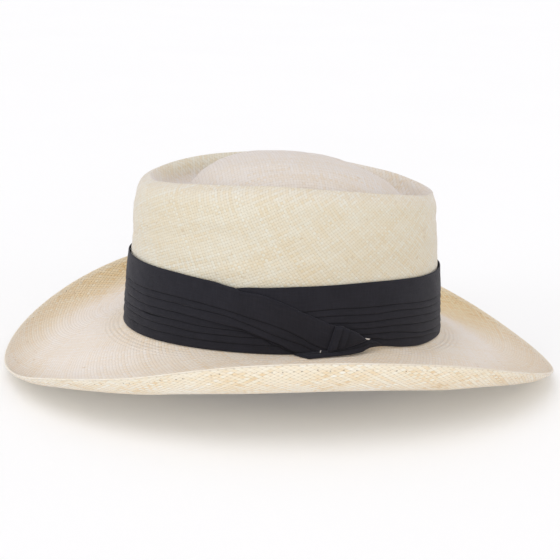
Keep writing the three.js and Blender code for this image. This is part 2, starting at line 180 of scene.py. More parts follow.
def brim_point(t, r):
    t, r = np.broadcast_arrays(np.asarray(t, float), np.asarray(r, float))
    S, C = np.sin(t), np.cos(t)
    foot = ring_points(np.broadcast_to(RINGS[LAST], t.shape + (7,)), t)
    e = 2 / 2.1
    turn = np.degrees(np.arctan2(S, C))
    dip = -1.7 * np.exp(-((turn + 35) / 11)**2) + 1.3 * np.exp(-((turn + 58) / 9)**2)      # the near edge is a little uneven
    edge = np.stack([155.8 * spow(C, e), -0.75 + 179.2 * spow(S, e), 16.4 - 2.5 * S - 43.2 * S * S - 1.0 * S**4 + dip], -1)
    base = foot_z(t) - sag(t)
    fall = -11.6 - 25.4 * S * S
    curl = edge[..., 2] - base - fall
    p = foot + (edge - foot) * r[..., None]
    p[..., 2] = base + fall * r + curl * r**7 + 2.6 * np.exp(-r / 0.013) + sag(t) * np.exp(-(r / 0.17)**2)
    return p


def normals_of(P, closed=True):
    """Unit normals of a grid of points, rows by columns round the hat."""
    if closed:
        du = np.roll(P, -1, 1) - np.roll(P, 1, 1)
    else:
        du = np.gradient(P, axis=1)
    dv = np.gradient(P, axis=0)
    n = np.cross(du, dv)
    n /= np.maximum(np.linalg.norm(n, axis=-1, keepdims=True), 1e-12)
    return n


def wobble(n, seed, terms=9, falloff=1.0, low=2):
    """A smooth closed random wave of n samples, about unit size."""
    g = np.random.default_rng(seed)
    x = np.linspace(0, 2 * np.pi, n, endpoint=False)
    y = np.zeros(n)
    for k in range(low, low + terms):
        y += np.sin(k * x + g.uniform(0, 6.28)) * g.normal() / (k / low)**falloff
    return y / max(1e-9, np.abs(y).max())


# ------------------------------------------------------------------ mesh helpers
def make_object(name, verts, quads, tris=(), smooth=True, attrs=None):
    """verts (n,3) mm; attrs {name: (domain, array)}."""
    verts = np.asarray(verts, float) * MM
    quads = np.asarray(quads, np.int64).reshape(-1, 4)
    tris = np.asarray(tris, np.int64).reshape(-1, 3)
    me = bpy.data.meshes.new(name)
    me.vertices.add(len(verts))
    me.vertices.foreach_set("co", verts.astype(np.float32).ravel())
    loops = np.concatenate([quads.ravel(), tris.ravel()])
    me.loops.add(len(loops))
    me.loops.foreach_set("vertex_index", loops.astype(np.int32))
    nq, ntr = len(quads), len(tris)
    starts = np.concatenate([np.arange(nq) * 4, nq * 4 + np.arange(ntr) * 3])
    me.polygons.add(nq + ntr)
    me.polygons.foreach_set("loop_start", starts.astype(np.int32))
    if smooth:
        me.polygons.foreach_set("use_smooth", np.ones(nq + ntr, bool))
    me.update(calc_edges=True)
    for k, (domain, value) in (attrs or {}).items():
        value = np.asarray(value, np.float32)
        kind = "FLOAT" if value.ndim == 1 else "FLOAT_VECTOR"
        a = me.attributes.new(k, kind, domain)
        a.data.foreach_set("value" if kind == "FLOAT" else "vector", value.ravel())
    me.validate(clean_customdata=False)
    ob = bpy.data.objects.new(name, me)
    bpy.context.scene.collection.objects.link(ob)
    return ob


def grid_quads(rows, cols, closed_u=False, closed_v=False, start=0):
    """Quads of a rows x cols grid; u runs along columns, v along rows."""
    i = np.arange(rows if closed_v else rows - 1)
    j = np.arange(cols if closed_u else cols - 1)
    I, J = np.meshgrid(i, j, indexing="ij")
    I2, J2 = (I + 1) % rows, (J + 1) % cols
    q = np.stack([I * cols + J, I * cols + J2, I2 * cols + J2, I2 * cols + J], -1).reshape(-1, 4)
    return q + start


def volume_of(verts, quads, tris=()):
    v = np.asarray(verts, float)
    q = np.asarray(quads).reshape(-1, 4)
    t = np.concatenate([q[:, [0, 1, 2]], q[:, [0, 2, 3]], np.asarray(tris, np.int64).reshape(-1, 3)])
    return np.einsum("ij,ij->i", v[t[:, 0]], np.cross(v[t[:, 1]], v[t[:, 2]])).sum() / 6


def loft(name, P, closed_u=True, smooth=True, attrs=None, caps=True):
    """P is (section points, stations, 3): closed sections swept along the stations."""
    m, n = P.shape[:2]
    verts = P.reshape(-1, 3)
    quads = grid_quads(m, n, closed_u, True)
    tris = []
    extra = []
    if not closed_u and caps:
        for s in (0, n - 1):
            c = len(verts) + len(extra)
            extra.append(P[:, s].mean(0))
            for k in range(m):
                a, b = k * n + s, ((k + 1) % m) * n + s
                tris.append([c, a, b] if s == 0 else [c, b, a])
        verts = np.concatenate([verts, np.array(extra)])
    tris = np.array(tris, np.int64).reshape(-1, 3)
    if volume_of(verts, quads, tris) < 0:
        quads, tris = quads[:, ::-1], tris[:, ::-1]
    ob_attrs = {}
    for k, v in (attrs or {}).items():
        v = np.asarray(v, float)
        v = v.reshape(m * n, -1)
        if len(extra):
            v = np.concatenate([v, v[:len(extra)]])
        ob_attrs[k] = ("POINT", v[:, 0] if v.shape[1] == 1 else v)
    return make_object(name, verts, quads, tris, smooth, ob_attrs)


def tube(name, path, radius, sides=10, closed=False, up_hint=(0, 0, 1), squash=1.0, attrs=False):
    """A round thread along a path of points (mm), with rounded ends when open."""
    path = np.asarray(path, float)
    n = len(path)
    if closed:
        d = np.roll(path, -1, 0) - np.roll(path, 1, 0)
    else:
        d = np.gradient(path, axis=0)
    d /= np.linalg.norm(d, axis=1, keepdims=True)
    upv = np.broadcast_to(np.asarray(up_hint, float), d.shape)
    a = np.cross(d, upv)
    a /= np.maximum(np.linalg.norm(a, axis=1, keepdims=True), 1e-9)
    b = np.cross(d, a)
    rad = np.broadcast_to(np.asarray(radius, float), (n,)).copy()
    if not closed:
        path = np.concatenate([path[:1] - d[:1] * rad[0] * 0.8, path[:1] - d[:1] * rad[0] * 0.45, path, path[-1:] + d[-1:] * rad[-1] * 0.45, path[-1:] + d[-1:] * rad[-1] * 0.8])
        a = np.concatenate([a[:1], a[:1], a, a[-1:], a[-1:]])
        b = np.concatenate([b[:1], b[:1], b, b[-1:], b[-1:]])
        rad = np.concatenate([[rad[0] * 0.45, rad[0] * 0.85], rad, [rad[-1] * 0.85, rad[-1] * 0.45]])
    w = np.linspace(0, 2 * np.pi, sides, endpoint=False)
    P = path[None] + (np.cos(w)[:, None, None] * a[None] + squash * np.sin(w)[:, None, None] * b[None]) * rad[None, :, None]
    return P


def tubes_object(name, tubes, closed=False, mat=None):
    """Several open tubes as one object of separate closed meshes."""
    V, Q, T, base = [], [], [], 0
    along = []
    for P in tubes:
        m, n = P.shape[:2]
        verts = P.reshape(-1, 3)
        quads = grid_quads(m, n, closed, True)
        tris = []
        extra = []
        if not closed:
            for s in (0, n - 1):
                c = m * n + len(extra)
                extra.append(P[:, s].mean(0))
                for k in range(m):
                    a, b = k * n + s, ((k + 1) % m) * n + s
                    tris.append([c, a, b] if s == 0 else [c, b, a])
            verts = np.concatenate([verts, np.array(extra)])
        tris = np.array(tris, np.int64).reshape(-1, 3)
        if volume_of(verts, quads, tris) < 0:
            quads, tris = quads[:, ::-1], tris[:, ::-1]
        step = np.linalg.norm(np.diff(P.mean(0), axis=0), axis=1)
        s = np.concatenate([[0], np.cumsum(step)])
        u = np.broadcast_to(s[None], (m, n)).reshape(-1)
        w = np.broadcast_to(np.linspace(0, 1, m, endpoint=False)[:, None], (m, n)).reshape(-1)
        tw = np.stack([u, w, np.full(m * n, float(len(V)))], -1)
        if len(extra):
            tw = np.concatenate([tw, tw[:1], tw[n - 1:n]])
        along.append(tw)
        V.append(verts); Q.append(quads + base); T.append(tris + base)
        base += len(verts)
    return make_object(name, np.concatenate(V), np.concatenate(Q), np.concatenate(T), True, {"twist": ("POINT", np.concatenate(along))})


# ------------------------------------------------------------------ materials
class Mat:
    """Small helper that builds a node material."""

    def __init__(self, name):
        self.m = bpy.data.materials.new(name)
        self.m.use_nodes = True
        self.t = self.m.node_tree
        self.t.nodes.clear()
        self.out = self.t.nodes.new("ShaderNodeOutputMaterial")
        self.b = self.t.nodes.new("ShaderNodeBsdfPrincipled")
        self.t.links.new(self.b.outputs[0], self.out.inputs[0])

    def put(self, sock, v):
        if isinstance(v, bpy.types.NodeSocket):
            self.t.links.new(v, sock)
        elif v is not None:
            sock.default_value = v

    def math(self, op, a, b=None, c=None, clamp=False):
        n = self.t.nodes.new("ShaderNodeMath")
        n.operation, n.use_clamp = op, clamp
        for s, v in zip(n.inputs, (a, b, c)):
            self.put(s, v)
        return n.outputs[0]

    def vec(self, x=0.0, y=0.0, z=0.0):
        n = self.t.nodes.new("ShaderNodeCombineXYZ")
        for s, v in zip(n.inputs, (x, y, z)):
            self.put(s, v)
        return n.outputs[0]

    def vmath(self, op, a, b=None):
        n = self.t.nodes.new("ShaderNodeVectorMath")
        n.operation = op
        self.put(n.inputs[0], a)
        if b is not None:
            self.put(n.inputs[3] if op == "SCALE" else n.inputs[1], b)
        return n.outputs[0]

    def split(self, v):
        n = self.t.nodes.new("ShaderNodeSeparateXYZ")
        self.put(n.inputs[0], v)
        return n.outputs[0], n.outputs[1], n.outputs[2]

    def attr(self, name, out="Vector"):
        n = self.t.nodes.new("ShaderNodeAttribute")
        n.attribute_name = name
        return n.outputs[out]

    def coord(self):
        return self.t.nodes.new("ShaderNodeTexCoord").outputs["Object"]

    def noise(self, v, scale, detail=2.0, rough=0.5, dist=0.0):
        n = self.t.nodes.new("ShaderNodeTexNoise")
        self.put(n.inputs["Vector"], v)
        n.inputs["Scale"].default_value = scale
        n.inputs["Detail"].default_value = detail
        n.inputs["Roughness"].default_value = rough
        n.inputs["Distortion"].default_value = dist
        return n.outputs[0]

    def white(self, v):
        n = self.t.nodes.new("ShaderNodeTexWhiteNoise")
        n.noise_dimensions = "3D"
        self.put(n.inputs["Vector"], v)
        return n.outputs["Value"]

    def range(self, v, a, b, c=0.0, d=1.0, smooth=False):
        n = self.t.nodes.new("ShaderNodeMapRange")
        n.interpolation_type = "SMOOTHSTEP" if smooth else "LINEAR"
        self.put(n.inputs[0], v)
        for i, x in enumerate((a, b, c, d)):
            self.put(n.inputs[i + 1], x)
        return n.outputs[0]

    def mix(self, f, a, b):
        n = self.t.nodes.new("ShaderNodeMix")
        n.data_type = "FLOAT"
        self.put(n.inputs[0], f); self.put(n.inputs[2], a); self.put(n.inputs[3], b)
        return n.outputs[0]

    def cmix(self, f, a, b, blend="MIX"):
        n = self.t.nodes.new("ShaderNodeMix")
        n.data_type, n.blend_type = "RGBA", blend
        self.put(n.inputs[0], f)
        for s, v in ((n.inputs[6], a), (n.inputs[7], b)):
            if isinstance(v, tuple):
                v = (*v[:3], 1.0)
            self.put(s, v)
        return n.outputs[2]

    def ramp(self, f, stops):
        n = self.t.nodes.new("ShaderNodeValToRGB")
        self.put(n.inputs[0], f)
        e = n.color_ramp.elements
        while len(e) < len(stops):
            e.new(0.5)
        for k, (p, c) in enumerate(stops):
            e[k].position = p
            e[k].color = (*c, 1.0)
        return n.outputs[0]

    def bump(self, h, distance, strength=1.0, normal=None):
        n = self.t.nodes.new("ShaderNodeBump")
        n.inputs["Distance"].default_value = distance
        n.inputs["Strength"].default_value = strength
        self.put(n.inputs["Height"], h)
        if normal is not None:
            self.put(n.inputs["Normal"], normal)
        return n.outputs[0]

    def set(self, **k):
        for name, v in k.items():
            key = {"base": "Base Color", "rough": "Roughness", "spec": "Specular IOR Level", "sheen": "Sheen Weight", "sheen_rough": "Sheen Roughness",
                   "sheen_tint": "Sheen Tint", "normal": "Normal", "coat": "Coat Weight", "coat_rough": "Coat Roughness", "sss": "Subsurface Weight",
                   "sss_scale": "Subsurface Scale", "trans": "Transmission Weight"}[name]
            if isinstance(v, tuple):
                v = (*v[:3], 1.0)
            self.put(self.b.inputs[key], v)
        return self


def straw_material(name, count_a, count_b, brim):
    """Plain weave of flat double straws. The mesh carries the weave coordinates: x and y count ribbons of the two
    families; z sets how much painted light and shade a place gets (on the crown the dome's painted top light, on the
    brim the painted golden shade).
    """
    m = Mat(name)
    a, b, lift = m.split(m.attr("weave"))
    ia, ib = m.math("FLOOR", a), m.math("FLOOR", b)
    fa, fb = m.math("FRACT", a), m.math("FRACT", b)
    par = m.math("FLOORED_MODULO", m.math("ADD", ia, ib), 2.0)
    ja, jb = m.math("FLOORED_MODULO", ia, float(count_a)), m.math("FLOORED_MODULO", ib, float(count_b))
    across, along = m.mix(par, fa, fb), m.mix(par, fb, fa)
    strand = m.mix(par, ja, m.math("ADD", jb, 4000.0))
    run = m.mix(par, b, a)

    def profile(x, power):
        q = m.math("ABSOLUTE", m.math("SUBTRACT", m.math("MULTIPLY", x, 2.0), 1.0))
        return m.math("SUBTRACT", 1.0, m.math("POWER", q, power))
    round_ = profile(across, 3.2)
    arch = profile(along, 2.2)
    groove = m.range(m.math("ABSOLUTE", m.math("SUBTRACT", across, 0.5)), 0.0, 0.09, 0.72, 1.0, True)
    height = m.math("MULTIPLY", m.math("MULTIPLY", m.math("POWER", round_, 0.6), m.math("ADD", m.math("MULTIPLY", arch, 0.62), 0.38)), groove)

    piece_no = m.math("FLOOR", m.math("ADD", m.math("DIVIDE", run, 15.0), m.math("MULTIPLY", m.white(m.vec(strand, 3.0, 1.0)), 9.0)))
    v_strand = m.white(m.vec(strand, piece_no, 0.0))
    v_long = m.white(m.vec(strand, 77.0, 5.0))
    v_cell = m.white(m.vec(ja, jb, 9.0))
    fibre = m.noise(m.vec(m.math("MULTIPLY", across, 5.0), m.math("MULTIPLY", run, 0.35), strand), 1.0, 3.0, 0.6)
    patch = m.noise(m.coord(), 22.0, 3.0, 0.55)
    fine = m.noise(m.coord(), 170.0, 2.0, 0.5)
    tone = m.math("ADD", m.math("MULTIPLY", v_strand, 0.36), m.math("MULTIPLY", v_long, 0.24))
    tone = m.math("ADD", tone, m.math("MULTIPLY", v_cell, 0.10))
    tone = m.math("ADD", tone, m.math("MULTIPLY", fibre, 0.20))
    tone = m.math("ADD", tone, m.math("MULTIPLY", m.range(patch, 0.3, 0.7), 0.10))
    if brim:
        # lift says how much of the golden tint a place on the brim gets, which is painted shade and light glowing
        # through the straw, and under which face it is on
        edge, arc, under = m.split(m.attr("place"))
        contrast = m.math("ADD", m.mix(under, 0.50, 1.22), m.math("MULTIPLY", lift, 0.75))
    else:
        contrast = m.mix(lift, 0.70, 0.58)
    tone = m.math("ADD", m.math("MULTIPLY", m.math("SUBTRACT", tone, 0.52), contrast), 0.55)
    colour = m.ramp(tone, STRAW_RAMP)
    old = m.range(m.math("MULTIPLY", v_strand, m.range(fine, 0.35, 0.65)), 0.86, 0.98, 0.0, 0.5)
    colour = m.cmix(old, colour, (0.62, 0.43, 0.20))
    # painted shade: the low parts of the weave, between the straws, are darkened
    shade = m.range(height, 0.02, 0.55, m.math("SUBTRACT", 1.0, m.math("MULTIPLY", contrast, 0.42)), 1.0, True)
    colour = m.cmix(1.0, colour, m.vec(shade, m.math("POWER", shade, 1.12), m.math("POWER", shade, 1.35)), "MULTIPLY")
    if brim:
        # painted light: the top less yellow as if lit from above, the underside brighter as if lit from below; golden
        # where the sides curl up, painted shade and light glowing through the straw
        colour = m.cmix(1.0, colour, m.cmix(under, TOP_PAINTED_LIGHT, UNDER_PAINTED_LIGHT), "MULTIPLY")
        colour = m.cmix(lift, colour, m.cmix(1.0, colour, GOLD_PAINTED_SHADE, "MULTIPLY"))
    else:
        # painted light: the dome pinker and less yellow than the wall, as if lit from above
        colour = m.cmix(1.0, colour, m.cmix(lift, WALL_PAINTED_LIGHT, DOME_PAINTED_LIGHT), "MULTIPLY")
    if brim:
        # the finished edge: a paler row of turned-back ends with a small gap every few millimetres
        row = m.range(edge, 2.3, 2.9, 1.0, 0.0, True)
        colour = m.cmix(m.math("MULTIPLY", row, 0.35), colour, (0.86, 0.80, 0.68))
        cell = m.math("FLOOR", m.math("DIVIDE", arc, 5.3))
        jitter = m.math("MULTIPLY", m.math("SUBTRACT", m.white(m.vec(cell, 4.0, 2.0)), 0.5), 3.4)
        dx = m.math("SUBTRACT", m.math("MULTIPLY", m.math("SUBTRACT", m.math("FRACT", m.math("DIVIDE", arc, 5.3)), 0.5), 5.3), jitter)
        dy = m.math("SUBTRACT", m.math("SUBTRACT", edge, 2.5), m.math("MULTIPLY", m.white(m.vec(cell, 9.0, 7.0)), 0.9))
        rr = m.math("SQRT", m.math("ADD", m.math("MULTIPLY", dx, dx), m.math("MULTIPLY", dy, dy)))
        hole = m.math("MULTIPLY", m.range(rr, 0.18, 0.50, 1.0, 0.0, True), m.range(m.white(m.vec(cell, 1.0, 3.0)), 0.1, 0.9, 0.15, 0.8))
        # painted shade: the gaps are coloured dark brown for the shade inside them
        colour = m.cmix(hole, colour, (0.20, 0.12, 0.05))
        height = m.math("SUBTRACT", height, hole)
    rough = m.range(m.math("ADD", m.math("MULTIPLY", v_strand, 0.5), m.math("MULTIPLY", fibre, 0.5)), 0.2, 0.8, 0.50, 0.72)
    h = m.math("ADD", height, m.math("MULTIPLY", fibre, 0.16))
    m.set(base=colour, rough=rough, spec=0.6, sheen=0.42, sheen_rough=0.36, sheen_tint=(1.0, 0.94, 0.98), normal=m.bump(m.math("MULTIPLY", h, contrast), 0.00030, 1.0))
    return m.m


# Region tints of one straw, painted light: the wall is the shaded copy, the dome and the brim's top are less yellow as
# if lit from above, the brim's underside is brighter as if lit from below; the gold tint is painted shade and light
# glowing through the curled straw
WALL_PAINTED_LIGHT, DOME_PAINTED_LIGHT = (0.845, 0.868, 0.925), (0.84, 0.848, 1.01)
TOP_PAINTED_LIGHT, UNDER_PAINTED_LIGHT, GOLD_PAINTED_SHADE = (1.03, 1.03, 1.20), (1.07, 1.06, 1.10), (0.96, 0.83, 0.53)
STRAW_RAMP = [(0.10, (0.70, 0.515, 0.27)), (0.30, (0.80, 0.662, 0.43)), (0.50, (0.825, 0.73, 0.54)), (0.72, (0.845, 0.787, 0.63)), (0.92, (0.88, 0.855, 0.74))]


def cloth_material(name, dark, light, thread_mm, sheen, rough, bump_mm, attr_name="cloth"):
    """Plain-weave cloth. The mesh carries cloth coordinates in mm, and how deep a point lies in a fold, which sets the
    painted shade there.
    """
    m = Mat(name)
    u, v, deep = m.split(m.attr(attr_name))
    a, b = m.math("DIVIDE", u, thread_mm), m.math("DIVIDE", v, thread_mm)
    ia, ib = m.math("FLOOR", a), m.math("FLOOR", b)
    par = m.math("FLOORED_MODULO", m.math("ADD", ia, ib), 2.0)
    fa, fb = m.math("FRACT", a), m.math("FRACT", b)
    across, along = m.mix(par, fa, fb), m.mix(par, fb, fa)

    def bell(x):
        return m.math("SINE", m.math("MULTIPLY", x, math.pi))
    height = m.math("MULTIPLY", m.math("POWER", bell(across), 0.6), m.math("ADD", 0.45, m.math("MULTIPLY", bell(along), 0.55)))
    slub = m.noise(m.vec(m.math("MULTIPLY", u, 0.09), m.math("MULTIPLY", v, 1.3), 0.0), 1.0, 3.0, 0.6)
    slub2 = m.noise(m.vec(m.math("MULTIPLY", u, 1.3), m.math("MULTIPLY", v, 0.09), 5.0), 1.0, 3.0, 0.6)
    soft = m.noise(m.coord(), 60.0, 3.0, 0.55)
    lint = m.range(m.noise(m.coord(), 900.0, 2.0, 0.7), 0.70, 0.80, 0.0, 1.0)
    tone = m.math("ADD", m.math("MULTIPLY", m.math("ADD", slub, slub2), 0.35), m.math("MULTIPLY", soft, 0.3))
    # painted shade: the low parts of the weave darker
    tone = m.math("MULTIPLY", m.range(tone, 0.3, 0.7), m.range(height, 0.0, 0.8, 0.72, 1.0))
    colour = m.cmix(tone, dark, light)
    colour = m.cmix(m.math("MULTIPLY", lint, 0.25), colour, tuple(min(1.0, 3.5 * c) for c in light))
    # painted shade: deep in folds and pockets the colour goes nearly black
    colour = m.cmix(m.math("MULTIPLY", deep, 0.85), colour, tuple(c * 0.16 for c in dark))
    h = m.math("ADD", height, m.math("MULTIPLY", m.math("ADD", slub, slub2), 0.5))
    m.set(base=colour, rough=m.range(tone, 0.0, 1.0, rough + 0.06, rough - 0.06), spec=0.32, sheen=sheen, sheen_rough=0.42, sheen_tint=(0.90, 0.90, 1.0),
          normal=m.bump(h, bump_mm * MM, 0.9))
    return m.m


def thread_material(name, colour, light, ply=2.6, rough=0.6):
    """Twisted sewing thread: the mesh carries length, turn and thread number."""
    m = Mat(name)
    s, w, k = m.split(m.attr("twist"))
    turn = m.math("ADD", m.math("MULTIPLY", s, ply), m.math("MULTIPLY", w, 2.0))
    wave = m.math("ABSOLUTE", m.math("SINE", m.math("MULTIPLY", turn, math.pi)))
    fuzz = m.noise(m.coord(), 1500.0, 2.0, 0.6)
    # painted shade: the grooves of the twist darker, the crowns of the plies lighter
    tone = m.math("MULTIPLY", m.math("POWER", wave, 0.7), m.range(fuzz, 0.3, 0.7, 0.75, 1.0))
    m.set(base=m.cmix(tone, colour, light), rough=rough, spec=0.35, sheen=0.15, normal=m.bump(m.math("ADD", wave, m.math("MULTIPLY", fuzz, 0.4)), 0.00009))
    return m.m


def leather_material():
    m = Mat("sweat_leather")
    co = m.coord()
    vor = m.t.nodes.new("ShaderNodeTexVoronoi")
    vor.feature = "DISTANCE_TO_EDGE"
    m.put(vor.inputs["Vector"], co)
    vor.inputs["Scale"].default_value = 1150.0
    cells = m.range(vor.outputs["Distance"], 0.0, 0.22, 0.0, 1.0, True)
    pores = m.range(m.noise(co, 2600.0, 1.0, 0.5), 0.62, 0.75, 1.0, 0.6)
    patch = m.noise(co, 45.0, 4.0, 0.6)
    fine = m.noise(co, 420.0, 3.0, 0.6)
    tone = m.math("ADD", m.math("MULTIPLY", m.range(patch, 0.3, 0.7), 0.6), m.math("MULTIPLY", fine, 0.4))
    u, v, worn = m.split(m.attr("hide"))
    colour = m.ramp(tone, [(0.15, (0.150, 0.070, 0.032)), (0.5, (0.225, 0.108, 0.050)), (0.85, (0.315, 0.160, 0.078))])
    colour = m.cmix(m.math("MULTIPLY", m.math("SUBTRACT", 1.0, cells), 0.45), colour, (0.085, 0.036, 0.016))
    colour = m.cmix(m.math("MULTIPLY", worn, 0.55), colour, (0.44, 0.25, 0.135))
    h = m.math("ADD", m.math("MULTIPLY", cells, pores), m.math("MULTIPLY", fine, 0.5))
    m.set(base=colour, rough=m.range(tone, 0.2, 0.8, 0.40, 0.56), spec=0.5, coat=0.06, coat_rough=0.3, normal=m.bump(h, 0.00010))
    return m.m


def reed_material():
    m = Mat("reed_plastic")
    co = m.coord()
    n = m.noise(co, 300.0, 3.0, 0.5)
    colour = m.cmix(m.range(n, 0.3, 0.7), (0.74, 0.72, 0.66), (0.84, 0.83, 0.79))
    m.set(base=colour, rough=m.range(m.noise(co, 900.0, 2.0), 0.3, 0.7, 0.30, 0.46), spec=0.5, sss=0.12, sss_scale=0.001, normal=m.bump(n, 0.00005))
    return m.m


def paper_material():
    m = Mat("paper")
    co = m.coord()
    n = m.noise(co, 1400.0, 4.0, 0.65)
    p = m.noise(co, 120.0, 2.0, 0.5)
    colour = m.cmix(m.range(m.math("ADD", m.math("MULTIPLY", n, 0.5), m.math("MULTIPLY", p, 0.5)), 0.35, 0.65), (0.72, 0.68, 0.58), (0.84, 0.82, 0.75))
    m.set(base=colour, rough=m.range(n, 0.3, 0.7, 0.78, 0.92), spec=0.3, normal=m.bump(n, 0.00003))
    return m.m


def ribbed_material(name, dark, light, rib_mm, rough, sheen, spec=0.4):
    """Grosgrain or satin: fine ribs across the strip."""
    m = Mat(name)
    u, v, deep = m.split(m.attr("cloth"))
    rib = m.math("ABSOLUTE", m.math("SINE", m.math("MULTIPLY", u, math.pi / rib_mm)))
    thread = m.math("ABSOLUTE", m.math("SINE", m.math("MULTIPLY", v, math.pi / 0.28)))
    soft = m.noise(m.coord(), 180.0, 3.0, 0.55)
    # painted shade: the valleys between ribs darker, the crests lighter
    tone = m.math("MULTIPLY", m.math("ADD", m.math("MULTIPLY", m.math("POWER", rib, 0.6), 0.7), m.math("MULTIPLY", thread, 0.3)), m.range(soft, 0.3, 0.7, 0.8, 1.0))
    colour = m.cmix(tone, dark, light)
    # painted shade: deep places go nearly black
    colour = m.cmix(m.math("MULTIPLY", deep, 0.8), colour, tuple(c * 0.2 for c in dark))
    m.set(base=colour, rough=m.range(tone, 0.0, 1.0, rough + 0.1, rough - 0.05), spec=spec, sheen=sheen, sheen_rough=0.4,
          normal=m.bump(m.math("ADD", rib, m.math("MULTIPLY", thread, 0.3)), 0.00010))
    return m.m


def dress(ob, mat):
    ob.data.materials.clear()
    ob.data.materials.append(mat)
    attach(ob, "root")
    return ob


# ------------------------------------------------------------------ straw: crown
N_CROWN = 400
t_c = -np.pi + 2 * np.pi * np.arange(N_CROWN + 1) / N_CROWN        # the last one repeats the first
total_c = CHORD[-1]
near_ridge = np.array([-5.2, -3.9, -2.9, -2.1, -1.5, -1.0, -0.6, -0.25]) + CHORD[RIDGE]
c_top = np.concatenate([np.linspace(0, CHORD[RIDGE] - 6.6, 56)[1:], near_ridge, [CHORD[RIDGE]]])
c_rows = np.concatenate([c_top, 2 * CHORD[RIDGE] - near_ridge[::-1], np.linspace(CHORD[RIDGE] + 6.8, total_c, 52)])
n_top_rows = len(c_top)                                             # rows up to and with the ridge
ring_rows = hermite(CHORD, RINGS, c_rows)
P_out = ring_points(ring_rows[:, None, :], t_c[None, :-1])
P_out[..., 2] += sag(t_c[:-1])[None] * np.clip(1 - (total_c - c_rows) / 15, 0, 1)[:, None]
# the rim has sunk a little at the front, on the wearer's right
sink = np.clip((-np.sin(t_c[:-1]) - 0.02) / 0.5, 0, 1)
sink = sink**2 * (3 - 2 * sink) * np.clip(0.5 - 1.2 * np.cos(t_c[:-1]), 0, 1)
P_out[..., 2] -= 1.35 * np.exp(-((c_rows - CHORD[RIDGE]) / 15)**2)[:, None] * sink[None]
# the channel round the dome runs out shallow at its two ends
S_c = np.sin(t_c[:-1])
shallow = 4.6 * np.clip((-S_c - 0.45) / 0.5, 0, 1)**1.5 + 3.0 * np.clip((S_c - 0.55) / 0.45, 0, 1)**1.5
P_out[..., 2] += np.exp(-((c_rows - CHORD[7] - 1.0) / 8.5)**2)[:, None] * shallow[None]
# the front shoulder of the dome falls away
P_out[..., 2] -= 2.6 * np.exp(-((c_rows - CHORD[5]) / 11.0)**2)[:, None] * np.clip((-S_c - 0.3) / 0.5, 0, 1)[None]**1.2
# hand-woven unevenness, kept small: the dome and the wall are never quite true
wave = np.zeros(P_out.shape[:2])
ramp_c = np.clip(c_rows / 40, 0, 1)
for k, (kt, kc, amp) in enumerate([(3, 0.031, 0.32), (5, 0.052, 0.22), (8, 0.09, 0.14), (13, 0.15, 0.08), (21, 0.24, 0.05)]):
    ph = rng.uniform(0, 6.28, 2)
    wave += amp * np.sin(kt * t_c[None, :-1] + ph[0] + 1.7 * np.sin(kc * c_rows[:, None])) * np.sin(kc * c_rows[:, None] * 6.28 + ph[1])
keep = np.clip((total_c - c_rows - 20) / 30, 0, 1)                  # none at the foot, under the band
N_out = normals_of(P_out)
sgn = np.sign((N_out[-10] * wall_normal(t_c[:-1])).sum(-1).mean())
N_out *= sgn
P_out = P_out + N_out * (wave * (ramp_c * keep)[:, None])[..., None]
# the ridge is pinched to a fine crest
crest = np.exp(-np.abs(c_rows - CHORD[RIDGE]) / 1.3)
crest_t = 0.15 + 0.85 * np.clip((np.cos(t_c[:-1]) - 0.30) / 0.4, 0, 1)
P_out[..., 2] += 0.85 * crest[:, None] * crest_t[None]
N_out = normals_of(P_out) * sgn
P_in = P_out - N_out * STRAW_T
apex = np.array([0, -5.0, 107.0])

# weave coordinates
mid = wall_point(t_c, 55.0)
arc_c = np.concatenate([[0], np.cumsum(np.linalg.norm(np.diff(mid[:, :2], axis=0), axis=1))])
ang_a = np.radians(29 + 10 * np.sin(2 * t_c))
ang_b = np.radians(53 - 13 * np.sin(2 * t_c))


def running(f):
    return np.concatenate([[0], np.cumsum((f[1:] + f[:-1]) / 2 * np.diff(arc_c))])


ga, gb = running(np.sin(ang_a)), running(np.sin(ang_b))
NA, NB = 2 * round(ga[-1] / PITCH / 2), 2 * round(gb[-1] / PITCH / 2)
pa, pb = ga[-1] / NA, gb[-1] / NB
up_wall = (total_c - c_rows)[:, None] - 55.0
wall_a = (up_wall * np.cos(ang_a)[None] - ga[None]) / pa + 1000.0
wall_b = (up_wall * np.cos(ang_b)[None] + gb[None]) / pb + 1000.0


def plan_coords(P):
    return P[..., 0] / PITCH + 1000.0, P[..., 1] / PITCH + 1000.0


R, N = P_out.shape[:2]
verts = np.concatenate([apex[None], P_out.reshape(-1, 3), (apex - [0, 0, STRAW_T])[None], P_in.reshape(-1, 3)])
outer_q = grid_quads(R, N, True, False, 1)
inner_q = grid_quads(R, N, True, False, 2 + R * N)
foot_q = np.stack([1 + (R - 1) * N + np.arange(N), 1 + (R - 1) * N + (np.arange(N) + 1) % N,
                   2 + R * N + (R - 1) * N + (np.arange(N) + 1) % N, 2 + R * N + (R - 1) * N + np.arange(N)], -1)
apex_o = np.stack([np.zeros(N, int), 1 + np.arange(N), 1 + (np.arange(N) + 1) % N], -1)
apex_i = np.stack([np.full(N, 1 + R * N), 2 + R * N + (np.arange(N) + 1) % N, 2 + R * N + np.arange(N)], -1)
# corner attribute for each group
plan_a, plan_b = plan_coords(P_out)
apex_ab = plan_coords(apex[None])


def corners_grid(rows_top):
    I, J = np.meshgrid(np.arange(R - 1), np.arange(N), indexing="ij")
    out = np.empty((R - 1, N, 4, 3))
    for k, (di, dj) in enumerate([(0, 0), (0, 1), (1, 1), (1, 0)]):
        ii, jj, jw = I + di, J + dj, (J + dj) % N
        top = I < rows_top - 1
        out[..., k, 0] = np.where(top, plan_a[ii, jw], wall_a[ii, jj])
        out[..., k, 1] = np.where(top, plan_b[ii, jw], wall_b[ii, jj])
        out[..., k, 2] = np.where(top, 1.0 - far_in[ii, jw], fade[ii, jw])
    return out.reshape(-1, 4, 3)
